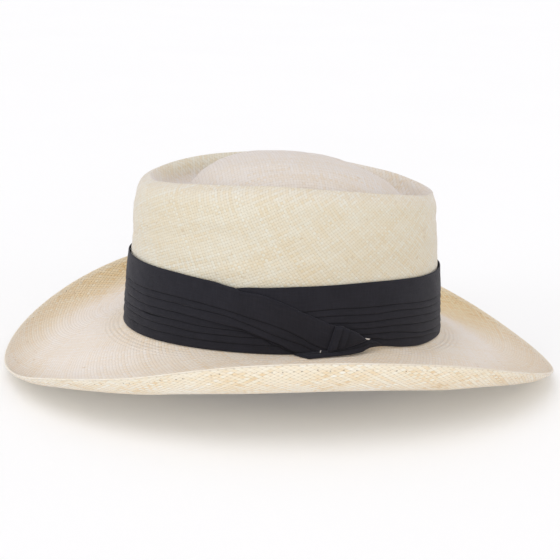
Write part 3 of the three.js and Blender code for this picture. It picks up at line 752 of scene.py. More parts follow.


# the wall takes a little of the dome's painted top light near the ridge; far_in takes the dome's painted top light off
# the far inner wall of the channel
fade = np.clip(1 - (c_rows - CHORD[RIDGE]) / 15, 0, 1)
fade = np.broadcast_to((0.32 * fade**2 * (3 - 2 * fade))[:, None], (R, N))
far_in = np.clip((c_rows - CHORD[7] - 1) / 7, 0, 1)[:, None] * (np.clip(-1.6 * np.cos(t_c[:-1]) + 0.1, 0, 1) * np.clip(0.75 - 1.1 * S_c, 0.25, 0.9))[None]
cg = corners_grid(n_top_rows)
foot_c = np.empty((N, 4, 3))
for k, dj in enumerate([0, 1, 1, 0]):
    jj = np.arange(N) + dj
    foot_c[:, k, 0], foot_c[:, k, 1], foot_c[:, k, 2] = wall_a[R - 1, jj], wall_b[R - 1, jj], 0
apex_c = np.empty((N, 3, 3))
apex_c[:, 0] = [apex_ab[0][0], apex_ab[1][0], 1]
for k, dj in ((1, 0), (2, 1)):
    jw = (np.arange(N) + dj) % N
    apex_c[:, k, 0], apex_c[:, k, 1], apex_c[:, k, 2] = plan_a[0, jw], plan_b[0, jw], 1
Q_parts = [(outer_q, cg), (inner_q[:, ::-1], cg[:, ::-1]), (foot_q[:, ::-1], foot_c[:, ::-1])]
T_parts = [(apex_o[:, ::-1], apex_c[:, ::-1]), (apex_i[:, ::-1], apex_c[:, [0, 2, 1]][:, ::-1])]


def oriented(parts, rev):
    return [(q[:, ::-1], c[:, ::-1]) if rev else (q, c) for q, c in parts]


Qs, Ts = oriented(Q_parts, False), oriented(T_parts, False)
quads = np.concatenate([q for q, _ in Qs])
tris = np.concatenate([q for q, _ in Ts])
corner = np.concatenate([c.reshape(-1, 3) for _, c in Qs] + [c.reshape(-1, 3) for _, c in Ts])
v_all = volume_of(verts, quads, tris)
if v_all < 0:
    quads, tris = quads[:, ::-1], tris[:, ::-1]
    corner = np.concatenate([c[:, ::-1].reshape(-1, 3) for _, c in Qs] + [c[:, ::-1].reshape(-1, 3) for _, c in Ts])
straw_crown = make_object("straw_crown", verts, quads, tris, True, {"weave": ("CORNER", corner)})
mat_crown = straw_material("straw_crown", NA, NB, False)
dress(straw_crown, mat_crown)

# ------------------------------------------------------------------ straw: brim
N_BRIM = 640
t_b = -np.pi + 2 * np.pi * np.arange(N_BRIM + 1) / N_BRIM
r_rows = np.concatenate([[0.0, 0.004, 0.009, 0.016, 0.026, 0.04], np.linspace(0.055, 0.26, 34), np.linspace(0.26, 1.0, 42)[1:]])
B_top = brim_point(t_b[None, :-1], r_rows[:, None])
seg = np.linalg.norm(np.diff(B_top, axis=0), axis=-1)
s_rad = np.concatenate([np.zeros((1, N_BRIM)), np.cumsum(seg, 0)])
s_mean = s_rad.mean(1)
B_n = normals_of(B_top)
B_n *= np.sign(B_n[40, :, 2].mean())
# raised rings where straws are added, just outside the band, and slow unevenness further out
ring_env = np.clip((s_rad - 5.0) / 2.0, 0, 1) * np.clip((19.5 - s_rad) / 4.0, 0, 1)
lift = 0.12 * ring_env * np.cos(2 * np.pi * (s_rad - 6.2) / 2.9)
out_env = np.clip((s_rad - 14) / 20, 0, 1)
for kt, ks, amp in [(4, 0.05, 0.5), (7, 0.08, 0.32), (11, 0.12, 0.20), (17, 0.2, 0.10), (29, 0.33, 0.05)]:
    ph = rng.uniform(0, 6.28, 2)
    lift = lift + out_env * amp * np.sin(kt * t_b[None, :-1] + ph[0]) * np.sin(ks * s_rad + ph[1])
B_top = B_top + B_n * lift[..., None]
B_n = normals_of(B_top)
B_n *= np.sign(B_n[40, :, 2].mean())
# the woven edge is a little thicker than the sheet
edge_mm = s_rad[-1][None] - s_rad
thick = STRAW_T + 0.42 * np.clip(1 - np.abs(edge_mm - 1.3) / 1.7, 0, 1)
B_under = B_top - B_n * thick[..., None]
# rounded rim
end_t, end_u = B_top[-1], B_under[-1]
outw = (B_top[-1] - B_top[-2])
outw /= np.linalg.norm(outw, axis=-1, keepdims=True)
mid_e, half = (end_t + end_u) / 2, (end_t - end_u) / 2
rim = np.stack([mid_e + half * math.cos(a) + outw * 0.5 * math.sin(a) for a in (0.5, 1.05, 1.57, 2.09, 2.64)], 0)
section = np.concatenate([B_top, rim, B_under[::-1]], 0)             # closed loop of rows
M = section.shape[0]
per = np.linalg.norm(np.diff(np.concatenate([B_top, B_top[:, :1]], 1), axis=1), axis=-1).sum(1)
mid_ring = brim_point(t_b, 0.55)
tau = np.concatenate([[0], np.cumsum(np.linalg.norm(np.diff(mid_ring, axis=0), axis=1))])
tau_mm = tau.copy()
tau /= tau[-1]
NBR = 2 * round(math.sin(math.radians(45)) * per[6] / PITCH / 2)
slope = np.sqrt(np.clip(1 - (NBR * PITCH / per)**2, 0.05, 1)) / PITCH
F = np.concatenate([[0], np.cumsum((slope[1:] + slope[:-1]) / 2 * np.diff(s_mean))])
F_rim = F[-1] + np.linspace(0.1, 0.9, 5)
F_all = np.concatenate([F, F_rim, F[::-1]])
edge_all = np.concatenate([edge_mm.mean(1), np.zeros(5), edge_mm.mean(1)[::-1]])
under_all = np.concatenate([np.zeros(len(F)), np.full(5, 0.5), np.ones(len(F))])
# where the brim is painted golden: painted shade and light glowing through the straw, towards the edge where the sides
# curl up (most at the far back curl), near the band, and a little on the near side
painted_shade_gold_top = np.clip((32 + 15 * np.clip(np.sin(t_b[:-1]), 0, 1)[None] - edge_mm) / 24, 0, 1)
painted_shade_gold_top = painted_shade_gold_top**2 * (3 - 2 * painted_shade_gold_top) * np.clip(0.22 + 0.78 * np.abs(np.cos(t_b[:-1]))**1.5 + 0.30 * np.exp(-((t_b[:-1] - 2.15) / 0.38)**2), 0, 1)[None]
painted_shade_gold_top = np.maximum(painted_shade_gold_top, 0.30 * np.exp(-(s_rad / 17)**2))
painted_shade_gold_top = np.maximum(painted_shade_gold_top, 0.26 * np.clip((np.cos(t_b[:-1]) - 0.45) / 0.4, 0, 1)[None])
painted_shade_gold = np.concatenate([painted_shade_gold_top, np.zeros((5, N_BRIM)), 0 * painted_shade_gold_top], 0)
I, J = np.meshgrid(np.arange(M), np.arange(N_BRIM), indexing="ij")
cornerb = np.empty((M, N_BRIM, 4, 3))
cornerp = np.empty((M, N_BRIM, 4, 3))
for k, (di, dj) in enumerate([(0, 0), (0, 1), (1, 1), (1, 0)]):
    ii, jj = (I + di) % M, J + dj
    cornerb[..., k, 0] = NBR * tau[jj] + F_all[ii] + 2000
    cornerb[..., k, 1] = -NBR * tau[jj] + F_all[ii] + 2000
    cornerb[..., k, 2] = painted_shade_gold[ii, jj % N_BRIM]
    cornerp[..., k, 0] = edge_all[ii]
    cornerp[..., k, 1] = tau_mm[jj]
    cornerp[..., k, 2] = under_all[ii]
verts = section.reshape(-1, 3)
quads = grid_quads(M, N_BRIM, True, True)
cornerb, cornerp = cornerb.reshape(-1, 4, 3), cornerp.reshape(-1, 4, 3)
if volume_of(verts, quads) < 0:
    quads, cornerb, cornerp = quads[:, ::-1], cornerb[:, ::-1], cornerp[:, ::-1]
straw_brim = make_object("straw_brim", verts, quads, (), True, {"weave": ("CORNER", cornerb.reshape(-1, 3)), "place": ("CORNER", cornerp.reshape(-1, 3))})
mat_brim = straw_material("straw_brim", NBR, NBR, True)
dress(straw_brim, mat_brim)
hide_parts("straw_body")
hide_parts("straw_body")

# ------------------------------------------------------------------ the pleated band
BAND_TOP = [(-180, 41.0), (-150, 42.0), (-120, 43.2), (-90, 44.1), (-62, 43.8), (-51, 43.6), (-42, 42.75), (-34, 41.9), (-25, 39.4), (-16, 39.9),
            (-3, 41.0), (19, 41.7), (37, 40.4), (49, 38.9), (66, 37.6), (90, 36.8), (120, 37.8), (150, 39.5), (180, 41.0)]


def z_to_h(d, z):
    f = float(foot_z(math.radians(d)))
    return (z - f) / (1 - 0.42 * f / 45)


def over(pairs, turn=0.0):
    """(angle, z) pairs as (spiral angle, h)."""
    return [(d + turn, z_to_h(d, z)) for d, z in pairs]


# fold lines: on the start of the strip (right of the crossing), then round the back in h, then the far end over the crossing
LINES = [
    over([(-2.7, 25.8), (12.2, 27.2), (24.2, 26.5), (38.9, 25.1), (63, 21.1)]) + [(120, 25.0), (180, 27.2), (230, 28.8)]
    + over([(-78.7, 28.7), (-63.9, 29), (-51.2, 29.3), (-40.5, 28.5), (-28.9, 26), (-18.4, 21.4), (-10.2, 17.1), (-2.2, 10.4), (1.2, 6.6), (6.1, 2.9), (10, 1.6)], 360),
    over([(-4, 22.0), (1.7, 22.6), (12.2, 22.9), (24.2, 22.1), (38.9, 21), (63.1, 16.8)]) + [(120, 21.0), (180, 23.4), (230, 25.2)]
    + over([(-78.2, 25), (-63.6, 24.6), (-51.1, 25), (-40.3, 24.2), (-28.8, 22.4), (-20.3, 18.1), (-12.2, 12.7), (-2.1, 6.1), (3.4, 1.6), (10, 1.1)], 360),
    over([(-4, 17.6), (8.3, 18.4), (19.8, 17.4), (33.2, 16.9), (44.9, 15.3), (63.1, 11.8)]) + [(120, 16.4), (180, 18.2), (230, 19.8)]
    + over([(-77.6, 19.4), (-63.3, 19), (-50.8, 19.4), (-40.2, 18.7), (-30.9, 17.1), (-22.3, 14.8), (-18.2, 12.2), (-10.1, 6.7), (-3.4, 1.5), (10, 0.8)], 360),
    over([(-4, 13.4), (14.5, 13.9), (28.6, 13), (44.9, 10.1), (61.7, 7.1)]) + [(120, 11.6), (180, 13.2), (230, 14.2)]
    + over([(-76.9, 13.7), (-64.4, 14.1), (-50.6, 14.5), (-40, 13.8), (-30.8, 13.4), (-22.3, 13.0)], 360) + [(350, 5.2), (357, 1.2), (370, 0.72)],
    over([(-4, 9.4), (19.9, 9.9), (28.6, 9.2), (39, 6.6), (63.1, 0.9)]) + [(120, 7.4), (180, 9.0), (230, 10.2)]
    + over([(-76.5, 10), (-64.1, 9.7), (-50.5, 10.1), (-39.9, 9.4), (-28.5, 9.5), (-16.1, 9.6)], 360) + [(350, 4.6), (357, 1.1), (370, 0.66)],
    over([(-4, 5.6), (23.5, 6.6), (30.9, 4.2), (41.9, 2.1), (57.5, -1.2)]) + [(70, 2.4), (120, 3.6), (180, 4.4), (230, 5.0)]
    + over([(-76, 4.6), (-63.8, 4.7), (-50.3, 5.1), (-39.7, 5.1), (-28.4, 5.2), (-10.1, 5.0)], 360) + [(352, 3.6), (357, 1.0), (370, 0.60)],
]
D0, D1 = -25.0, 369.5
n_col = 700
D = np.linspace(D0, D1, n_col)
T = np.radians(D)
wrap = (D + 180) % 360 - 180
top_z = monotone([p[0] for p in BAND_TOP], [p[1] for p in BAND_TOP], wrap)
top_h = np.array([z_to_h(d, z) for d, z in zip(wrap, top_z)])
start_top = monotone([-25, -24, -23, -21, -16], [z_to_h(-25, 38.7), z_to_h(-24, 39.0), z_to_h(-23, 39.3), z_to_h(-21, 39.6), z_to_h(-16, 39.9)], D)
top_h = np.where(D < -16, start_top, top_h)
OS = [(-25.5, 39.3), (-24.3, 38.4), (-23.2, 37.1), (-18.7, 36.5), (-14, 34.6), (-10.5, 32.3), (-5.8, 28.8), (-2.7, 26.0), (1.7, 22.6), (6.2, 18.8), (9.5, 16.6)]
os_h = monotone([p[0] + 360 for p in OS], [z_to_h(*p) for p in OS], D)
top_h = np.where(D > 334.5, os_h, top_h)
lines_h = []
for k, pts in enumerate(LINES):
    x, y = [p[0] for p in pts], [p[1] for p in pts]
    lines_h.append(monotone(x, y, D))
lines_h = np.array(lines_h)
amp = np.interp(D, [-25, 10, 300, 330, 369], [0.05, 0.12, 0.16, 0.10, 0.03])
for k in range(6):
    lines_h[k] += amp * (wobble(n_col, 40 + k, 26, 0.7, 3) + 0.5 * wobble(n_col, 60 + k, 60, 0.4, 20))
bottom_h = 0.42 + 0.06 * wobble(n_col, 5, 20, 0.6, 3) + 1.9 * np.exp(-((D - 25.5) / 7.0)**2)
# keep an order and a least height for every face
least = np.interp(D, [0, 300, 335, 362, 369.5], [0.9, 0.9, 0.30, 0.10, 0.05])
low_clip = np.where(D < 0, np.interp(D, [-25, -18, -10, -3, 0], [19.0, 15.5, 10.0, 4.4, 2.0]), 0.0)   # the hidden start is cut on the slant
bottom_h = np.maximum(bottom_h, low_clip)
prev = bottom_h
for k in range(5, -1, -1):
    lines_h[k] = np.maximum(lines_h[k], prev + least)
    prev = lines_h[k]
top_h = np.maximum(top_h, prev + 0.6)
for k in (3, 4, 5):                                                  # the low pleats run in behind the third one
    lines_h[k] = np.minimum(lines_h[k], lines_h[2] - least * (k - 2) * 0.8)

lift_over = np.interp(D, [300, 318, 334, 369.5], [0.0, 0.35, 1.45, 1.6])
lift_over = lift_over + np.interp(D, [300, 315, 326, 334], [0, 0, 0.15, 0])
STEP = np.interp(D, [-25, 0, 60, 200, 300, 335, 360, 369], [0.72, 0.78, 0.84, 0.80, 0.84, 0.80, 0.62, 0.5])

rows_h, rows_o, rows_v, rows_d = [], [], [], []


# deep is painted shade: how far a row lies inside a fold, under a free edge or against the straw
def add_row(h, o, v, deep=0.0):
    rows_h.append(np.broadcast_to(h, (n_col,)).copy())
    rows_o.append(np.broadcast_to(o, (n_col,)).copy())
    rows_v.append(np.broadcast_to(v, (n_col,)).copy())
    rows_d.append(np.full(n_col, deep))


BASE = 1.72
v_run = 0.0
faces = []
# top edge, folded over
add_row(top_h - 0.9, 1.12, 0, 0.6)
add_row(top_h - 0.15, 1.16, 0.2, 0.1)
add_row(top_h + 0.02, 1.34, 0.4)
add_row(top_h + 0.0, 1.62, 0.6)
add_row(top_h - 0.22, 1.86, 0.8)
add_row(top_h - 0.9, 1.94, 1.2)
add_row(top_h - 2.2, 1.92, 2.5)
# a fine stitched dip where the hem inside ends
plain = 11
for i in range(1, plain + 1):
    f = i / (plain + 1)
    h = (top_h - 2.2) * (1 - f) + (lines_h[0] + 1.5) * f
    o = 1.92 + (BASE + STEP * 0.92 - 1.92) * f**1.3
    add_row(h, o, 2.5 + 14 * f)
v = 17.0
for k in range(6):
    L = lines_h[k]
    gap = L - (lines_h[k + 1] if k < 5 else bottom_h)
    up_gap = (top_h if k == 0 else lines_h[k - 1]) - L
    q = np.clip(up_gap / 3.0, 0.05, 1.0)
    add_row(L + 1.1 * q, BASE + STEP * 0.93, v)
    add_row(L + 0.45 * q, BASE + STEP * 0.99, v + 0.6)
    add_row(L + 0.10 * q, BASE + STEP * 0.98, v + 1.0)
    add_row(L - 0.07 * q, BASE + STEP * 0.86, v + 1.2)
    add_row(L - 0.10 * q, BASE + STEP * 0.68, v + 1.4, 0.4)
    add_row(L + 0.06 * q, BASE + STEP * 0.55, v + 1.6, 0.9)
    add_row(L + 0.7 * q, BASE + STEP * 0.47, v + 2.2, 1.0)
    add_row(L + 0.85 * q, BASE + STEP * 0.26, v + 2.6, 1.0)
    add_row(L + 0.6 * q, BASE + STEP * 0.06, v + 3.0, 1.0)
    add_row(L + 0.02 * q, BASE + STEP * 0.05 - (0.6 * np.exp(-((D - 299) / 5.0)**2) if k == 3 else 0.0), v + 3.6, 0.85)
    wide = 0.42 + (0.75 * np.exp(-((D - 299) / 5.0)**2) if k == 3 else 0.0)
    low_edge = L - wide * np.clip(gap / 3, 0.05, 1)
    open_here = np.exp(-((D - 299) / 5.0)**2) if k == 3 else 0.0
    lip = np.clip(gap / 3, 0.0, 1) * (0.36 if k < 5 else 0.2)
    add_row(low_edge, BASE + STEP * 0.07 - 0.6 * open_here, v + 3.9, 0.80)
    add_row(low_edge - 0.22 * np.clip(gap / 3, 0.05, 1), BASE + STEP * (0.08 + lip), v + 4.1, 0.05)
    low_edge = low_edge - 0.22 * np.clip(gap / 3, 0.05, 1)
    v += 4.2
    if k < 5:
        nxt_gap = np.maximum(gap, 0.02)
        for i in range(1, 5):
            f = i / 5
            h = low_edge * (1 - f) + (lines_h[k + 1] + 1.1 * np.clip(nxt_gap / 3.0, 0.05, 1.0)) * f
            o = BASE + STEP * ((0.08 + lip) * (1 - f) + 0.93 * f)
            add_row(h, o, v + 4.0 * f, 0.12 * (1 - f))
        v += 4.4
    else:
        for i in range(1, 5):
            f = i / 5
            h = low_edge * (1 - f) + (bottom_h + 0.5 * np.clip(gap / 3, 0.05, 1)) * f
            o = BASE + STEP * ((0.08 + lip) * (1 - f) + 0.83 * f)
            add_row(h, o, v + 4.0 * f, 0.10 * (1 - f))
        v += 4.6
g = np.clip(gap / 3, 0.05, 1)
add_row(bottom_h + 0.16 * g, BASE + STEP * 0.86, v, 0.1)
add_row(bottom_h, BASE + STEP * 0.72, v + 0.3, 0.3)
add_row(bottom_h + 0.0 * g, 1.72, v + 0.8, 0.8)
add_row(bottom_h + 0.45, 1.22, v + 1.4, 1.0)
n_outer = len(rows_h)
# back face, from the bottom up
for f in (0.12, 0.3, 0.5, 0.7, 0.88):
    add_row((bottom_h + 0.45) * (1 - f) + (top_h - 0.9) * f, 1.1, v + 1 + 40 * f, 1.0)

H, O, V, DEEP = (np.array(x) for x in (rows_h, rows_o, rows_v, rows_d))
# what lies over the crossing: everything from the top down to the third fold line
row_line = 7 + plain + 16 * 2 + 6                                    # last row of the third fold's free edge
is_over = np.zeros(len(H))
is_over[:row_line + 1] = 1
is_over[n_outer:] = np.clip((H[n_outer:].mean(1) * 0 + np.array([0, 0.0, 1, 1, 1])), 0, 1)
lo = lift_over[None] * is_over[:, None]
# past the crossing the low rows go under too
lo += np.where(is_over[:, None] > 0, 0, np.clip((D[None] - 350) / 8, 0, 1) * 0.9)
O = O + lo
inner_rows = np.arange(n_outer, len(H))
# soft unevenness of the cloth: broad ripples and slight puckers
for k, (f1, f2, a) in enumerate([(9, 0.10, 0.10), (17, 0.16, 0.07), (31, 0.22, 0.05), (53, 0.3, 0.03)]):
    ph = rng.uniform(0, 6.28, 2)
    O[7:n_outer - 4] += a * np.sin(f1 * T[None] + ph[0] + 0.05 * H[7:n_outer - 4] * f1 * 0.3) * np.sin(f2 * H[7:n_outer - 4] + ph[1])
O = np.maximum(O, 1.08)
P = wall_offset(T[None], H, O)
arc_b = np.concatenate([[0], np.cumsum(np.linalg.norm(np.diff(P[20], axis=0), axis=1))])
cl = np.stack([np.broadcast_to(arc_b[None], H.shape), H * 0 + V, DEEP], -1)
band = loft("hatband_cloth", P, closed_u=False, attrs={"cloth": cl})
mat_band = cloth_material("band_cloth", (0.0048, 0.0047, 0.0086), (0.0125, 0.0120, 0.0205), 0.42, 0.11, 0.80, 0.05)
dress(band, mat_band)
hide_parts("hatband", "hatband_over_end")
BAND_LEN = arc_b[-1]


# ------------------------------------------------------------------ knot
def patch(name, deg_cols, low, high, off, thick, rows=16, cols=40, pleats=(), puff=0.5, roll=0.9, lean=0.0):
    """A folded piece of cloth lying over the band: columns by angle, rows from its low to its high edge."""
    d = np.linspace(deg_cols[0], deg_cols[1], cols)
    lo_h = monotone([p[0] for p in low], [p[1] for p in low], d)
    hi_h = monotone([p[0] for p in high], [p[1] for p in high], d)
    hi_h = np.maximum(hi_h, lo_h + 0.5)
    k = np.concatenate([[0, 0.015, 0.05], np.linspace(0.1, 0.9, rows - 6), [0.95, 0.985, 1.0]])
    Hh = lo_h[None] * (1 - k[:, None]) + hi_h[None] * k[:, None]
    span = np.clip((hi_h - lo_h) / 10, 0.15, 1)
    u = (d - d[0]) / (d[-1] - d[0])
    edge_v = np.clip(np.minimum(k, 1 - k)[:, None] * (hi_h - lo_h)[None] / roll, 0, 1)
    mm_u = (d - d[0]) * math.pi / 180 * 90
    edge_u = np.clip(np.minimum(mm_u, mm_u[-1] - mm_u)[None] / roll, 0, 1)
    e = np.sqrt(1 - (1 - edge_v)**2) * np.sqrt(1 - (1 - edge_u)**2)
    body = np.sin(np.pi * np.clip(k, 0, 1))[:, None] * np.sin(np.pi * np.clip(u, 0, 1))[None]
    Oo = off + thick * (0.25 + 0.75 * e) + puff * body * span[None]
    deep = np.zeros(Hh.shape)
    for dd, hh, amp_, wid in pleats:                                  # fold lines: (angles, heights, step, width)
        line_d = np.interp(Hh, hh, dd)
        x = (d[None] - line_d) * math.pi / 180 * 88
        inside_ = (Hh > min(hh) - 1) & (Hh < max(hh) + 1)
        step = amp_ * np.where(x < 0, np.exp(x / 2.6), -0.25 * np.exp(-x / 1.2)) * inside_
        Oo = Oo + step * e
        # painted shade along each fold line
        deep = np.maximum(deep, np.exp(-((x - 0.12) / wid)**2) * inside_ * 0.95)
    lean_d = d[None] + lean * (Hh - 8.0)
    outer = wall_offset(np.radians(lean_d), Hh, Oo)
    innr = wall_offset(np.radians(lean_d), Hh, np.full(Hh.shape, off))
    return d, Hh, outer, innr, deep, mm_u


def slab_object(name, outer, innr, cl_outer, cl_inner=None):
    r, c = outer.shape[:2]
    verts = np.concatenate([outer.reshape(-1, 3), innr.reshape(-1, 3)])
    q = [grid_quads(r, c), grid_quads(r, c, start=r * c)[:, ::-1]]
    Oi = lambda i, j: i * c + j
    Ii = lambda i, j: r * c + i * c + j
    j = np.arange(c - 1)
    i = np.arange(r - 1)
    q.append(np.stack([Oi(0, j + 1), Oi(0, j), Ii(0, j), Ii(0, j + 1)], -1))
    q.append(np.stack([Oi(r - 1, j), Oi(r - 1, j + 1), Ii(r - 1, j + 1), Ii(r - 1, j)], -1))
    q.append(np.stack([Oi(i, 0), Oi(i + 1, 0), Ii(i + 1, 0), Ii(i, 0)], -1))
    q.append(np.stack([Oi(i + 1, c - 1), Oi(i, c - 1), Ii(i, c - 1), Ii(i + 1, c - 1)], -1))
    q = np.concatenate(q)
    if volume_of(verts, q) < 0:
        q = q[:, ::-1]
    if cl_inner is None:
        cl_inner = cl_outer
    at = np.concatenate([cl_outer.reshape(-1, 3), cl_inner.reshape(-1, 3)])
    return make_object(name, verts, q, (), True, {"cloth": ("POINT", at)})


LOOP_TOP = [(7.3, 17.1), (9.2, 17.3), (11.2, 15.9), (13.4, 14.4), (16, 12.5), (18.6, 9.8), (20.1, 8.3)]
LOOP_LOW = [(7.3, 1.3), (10, 2.2), (14.0, 3.9), (18, 6.0), (20.1, 7.3)]
d_, H_, out_, in_, deep_, mu_ = patch("knot_loop", (7.3, 20.1), LOOP_LOW, LOOP_TOP, 4.05, 1.55, rows=44, cols=72,
                                      pleats=[((9.9, 9.8, 9.7), (1.6, 8.6, 16.0), 0.85, 0.30),
                                              ((12.4, 12.4, 12.5), (1.8, 6.6, 14.6), 1.05, 0.32)], puff=0.75, roll=1.2, lean=0.175)
loop = slab_object("knot_loop_cloth", out_, in_, np.stack([np.broadcast_to(mu_[None], H_.shape), H_, deep_], -1))
dress(loop, mat_band)
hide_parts("knot_loop")

# tail: comes out from under the loop and slants out to the brim
cols, rows = 84, 26
d = np.linspace(-4.6, 26.6, cols)
k = np.concatenate([[0, 0.02, 0.06], np.linspace(0.12, 1, rows - 3)])
top_h_t = np.interp(d, [-4.6, 0, 4, 7, 10, 14, 19, 21.5, 24, 26.6], [0.7, 0.9, 1.3, 1.8, 2.9, 4.4, 6.6, 6.9, 5.6, 3.4])
reach = np.interp(d, [-4.6, -0.5, 0.2, 7, 14, 18, 21, 24, 27], [3.9, 8.7, 9.0, 8.0, 6.8, 6.0, 4.8, 4.1, 3.8])
low_h = np.interp(d, [-4.6, -0.3, 3, 7, 14, 18, 21, 24, 27], [0.3, -1.05, -0.75, -0.35, 0.05, 0.7, 2.4, 3.5, 4.0])
e_u = np.clip(np.minimum(d - d[0], d[-1] - d) * 1.55 / 0.8, 0, 1)
e_u = np.sqrt(1 - (1 - e_u)**2)
Ht = low_h[None] * (1 - k[:, None]) + top_h_t[None] * k[:, None]
Ot = reach[None] * (1 - k[:, None]**1.15) + 3.55 * k[:, None]**1.15
bulge = 0.55 * np.sin(np.pi * k)[:, None] * e_u[None]
fold = np.exp(-((k[:, None] - np.interp(d, [-4.6, 1.2, 8, 20, 27], [0.7, 0.62, 0.55, 0.45, 0.4])[None]) / 0.07)**2)
Pt_out = wall_offset(np.radians(d)[None], Ht + 0.45 * bulge + 0.62 * e_u[None] * np.clip(k[:, None] * 8, 0.2, 1) - 0.30 * fold * e_u[None], Ot + bulge * 0.6 - 0.28 * fold)
Pt_in = wall_offset(np.radians(d)[None], Ht - 0.1, Ot - 0.55)
mm_t = (d - d[0]) * math.pi / 180 * 92
# the fold across the tail also carries painted shade
tail = slab_object("knot_tail_cloth", Pt_out, Pt_in, np.stack([np.broadcast_to(mm_t[None], Ht.shape), np.broadcast_to(k[:, None] * 8, Ht.shape), fold * 0.9], -1))
dress(tail, mat_band)
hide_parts("knot_tail")

# thread tacks
mat_pale = thread_material("pale_thread", (0.50, 0.45, 0.42), (0.86, 0.82, 0.79), 2.2, 0.55)
mat_black = thread_material("black_thread", (0.010, 0.010, 0.012), (0.050, 0.050, 0.058), 2.4, 0.55)


def stitch(d0, h0, d1, h1, off, rise, r, n=9):
    f = np.linspace(0, 1, n)
    return tube("x", wall_offset(np.radians(d0 + (d1 - d0) * f), h0 + (h1 - h0) * f, off + rise * np.sin(np.pi * f)), r, 10, up_hint=(0.3, 0.2, 0.9))


up_t = tubes_object("knot_tack_upper_thread", [stitch(19.95, 8.7, 21.5, 8.2, 4.25, 0.42, 0.23), stitch(19.95, 8.3, 21.4, 7.85, 4.25, 0.38, 0.22)])
dress(up_t, mat_pale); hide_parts("knot_tack_upper")
lo_t = tubes_object("knot_tack_lower_thread", [stitch(3.6, 0.9, 3.95, 2.6, 4.75, 0.35, 0.24)])
dress(lo_t, mat_pale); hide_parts("knot_tack_lower")
for nm, dc in (("front", -90.0), ("back", 90.0), ("right", 180.0)):
    w0 = (dc + 180) % 360 - 180
    hh = z_to_h(w0, float(np.interp(w0, [p[0] for p in BAND_TOP], [p[1] for p in BAND_TOP])))
    ob = tubes_object("band_tack_%s_thread" % nm, [stitch(dc - 1.0, hh + 0.78, dc + 1.0, hh + 0.86, 0.42, 0.3, 0.22), stitch(dc - 0.9, hh + 0.3, dc - 0.1, hh + 0.72, 0.9, 0.1, 0.2)])
    dress(ob, mat_black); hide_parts("band_tack_%s" % nm)

# stay tape behind the band
n_t = 360
tt = np.linspace(0, 2 * np.pi, n_t, endpoint=False)
hs = [5.0, 5.0, 5.1] + list(np.linspace(6, 33, 10)) + [33.9, 34, 34] + [33.9] + list(np.linspace(33, 6, 6)) + [5.1]
os_ = [0.45, 0.62, 0.72] + [0.76] * 10 + [0.72, 0.6, 0.45] + [0.34] + [0.32] * 6 + [0.34]
Hs, Os = np.array(hs)[:, None] + 0 * tt[None], np.array(os_)[:, None] + 0 * tt[None]
Pst = wall_offset(tt[None], Hs, Os)
stay = loft("band_stay_tape_cloth", Pst, attrs={"cloth": np.stack([np.broadcast_to(tt[None] * 94, Hs.shape), Hs, 0 * Hs], -1)})
mat_stay = ribbed_material("stay_tape", (0.012, 0.010, 0.010), (0.035, 0.032, 0.032), 1.1, 0.7, 0.15)
dress(stay, mat_stay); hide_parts("band_stay_tape")

# ------------------------------------------------------------------ sweatband and what belongs to it
mat_leather = leather_material()
n_s = 420
ts = np.radians(90.35) + np.linspace(0, 2 * np.pi - 2 * math.radians(0.35), n_s)
prof = ([(3.4, 2.35), (3.42, 2.0), (3.7, 1.87), (5.0, 1.85)] + [(h, 1.85) for h in np.linspace(7, 33, 12)] + [(35.2, 1.86), (35.9, 2.0), (36.0, 2.3)]
        + [(35.9, 2.62), (35.2, 2.80), (34.2, 2.84)] + [(33.2, 2.84), (32.8, 2.72), (32.4, 2.84)] + [(h, 2.85) for h in np.linspace(30.5, 10, 10)]
        + [(8.8, 2.84), (8.4, 2.70), (8.0, 2.84), (6.0, 2.84), (4.2, 2.80), (3.5, 2.62)])
Hs = np.array([p[0] for p in prof])[:, None] + 0 * ts[None]
Os = np.array([p[1] for p in prof])[:, None] + 0 * ts[None]
top_f = np.clip((Hs - 20) / 16, 0, 1)
drift = wobble(n_s, 3, 12, 0.7, 2)[None] * 0.35 + wobble(n_s, 4, 30, 0.5, 8)[None] * 0.12
drift = drift * np.clip(np.minimum(np.arange(n_s), n_s - 1 - np.arange(n_s)) / 14, 0, 1)[None]
Hs = Hs + top_f * drift * 0.5
Os = Os + top_f * np.abs(drift) * 0.55
worn = np.clip((Hs - 34.6) / 1.2, 0, 1)
Psw = inside(ts[None], Hs, Os)
sweat = loft("sweatband_leather", Psw, closed_u=False, attrs={"hide": np.stack([np.broadcast_to(ts[None] * 92, Hs.shape), Hs, worn], -1)})
dress(sweat, mat_leather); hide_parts("sweatband")

mat_tape = ribbed_material("reed_tape", (0.022, 0.017, 0.015), (0.075, 0.060, 0.054), 0.9, 0.75, 0.1)
J_out = [(9.0, 0.55), (8.9, 0.34), (6, 0.32), (3, 0.32), (1.3, 0.36), (0.2, 0.55), (-0.6, 0.95), (-0.95, 1.5), (-1.0, 2.2), (-0.85, 2.95), (-0.3, 3.5), (0.6, 3.76), (1.8, 3.8), (2.7, 3.76),
         (2.85, 3.55), (2.7, 3.36), (1.6, 3.36), (0.8, 3.3), (0.1, 3.1), (-0.35, 2.75), (-0.5, 2.1), (-0.4, 1.4), (0.2, 0.95), (1.4, 0.76), (3, 0.74), (6, 0.74), (8.9, 0.72)]
tr = np.linspace(0, 2 * np.pi, n_t, endpoint=False)
Hr, Or = np.array([p[0] for p in J_out])[:, None] + 0 * tr[None], np.array([p[1] for p in J_out])[:, None] + 0 * tr[None]
run = np.concatenate([[0], np.cumsum(np.hypot(np.diff(Hr[:, 0]), np.diff(Or[:, 0])))])
Pr = inside(tr[None], Hr, Or)
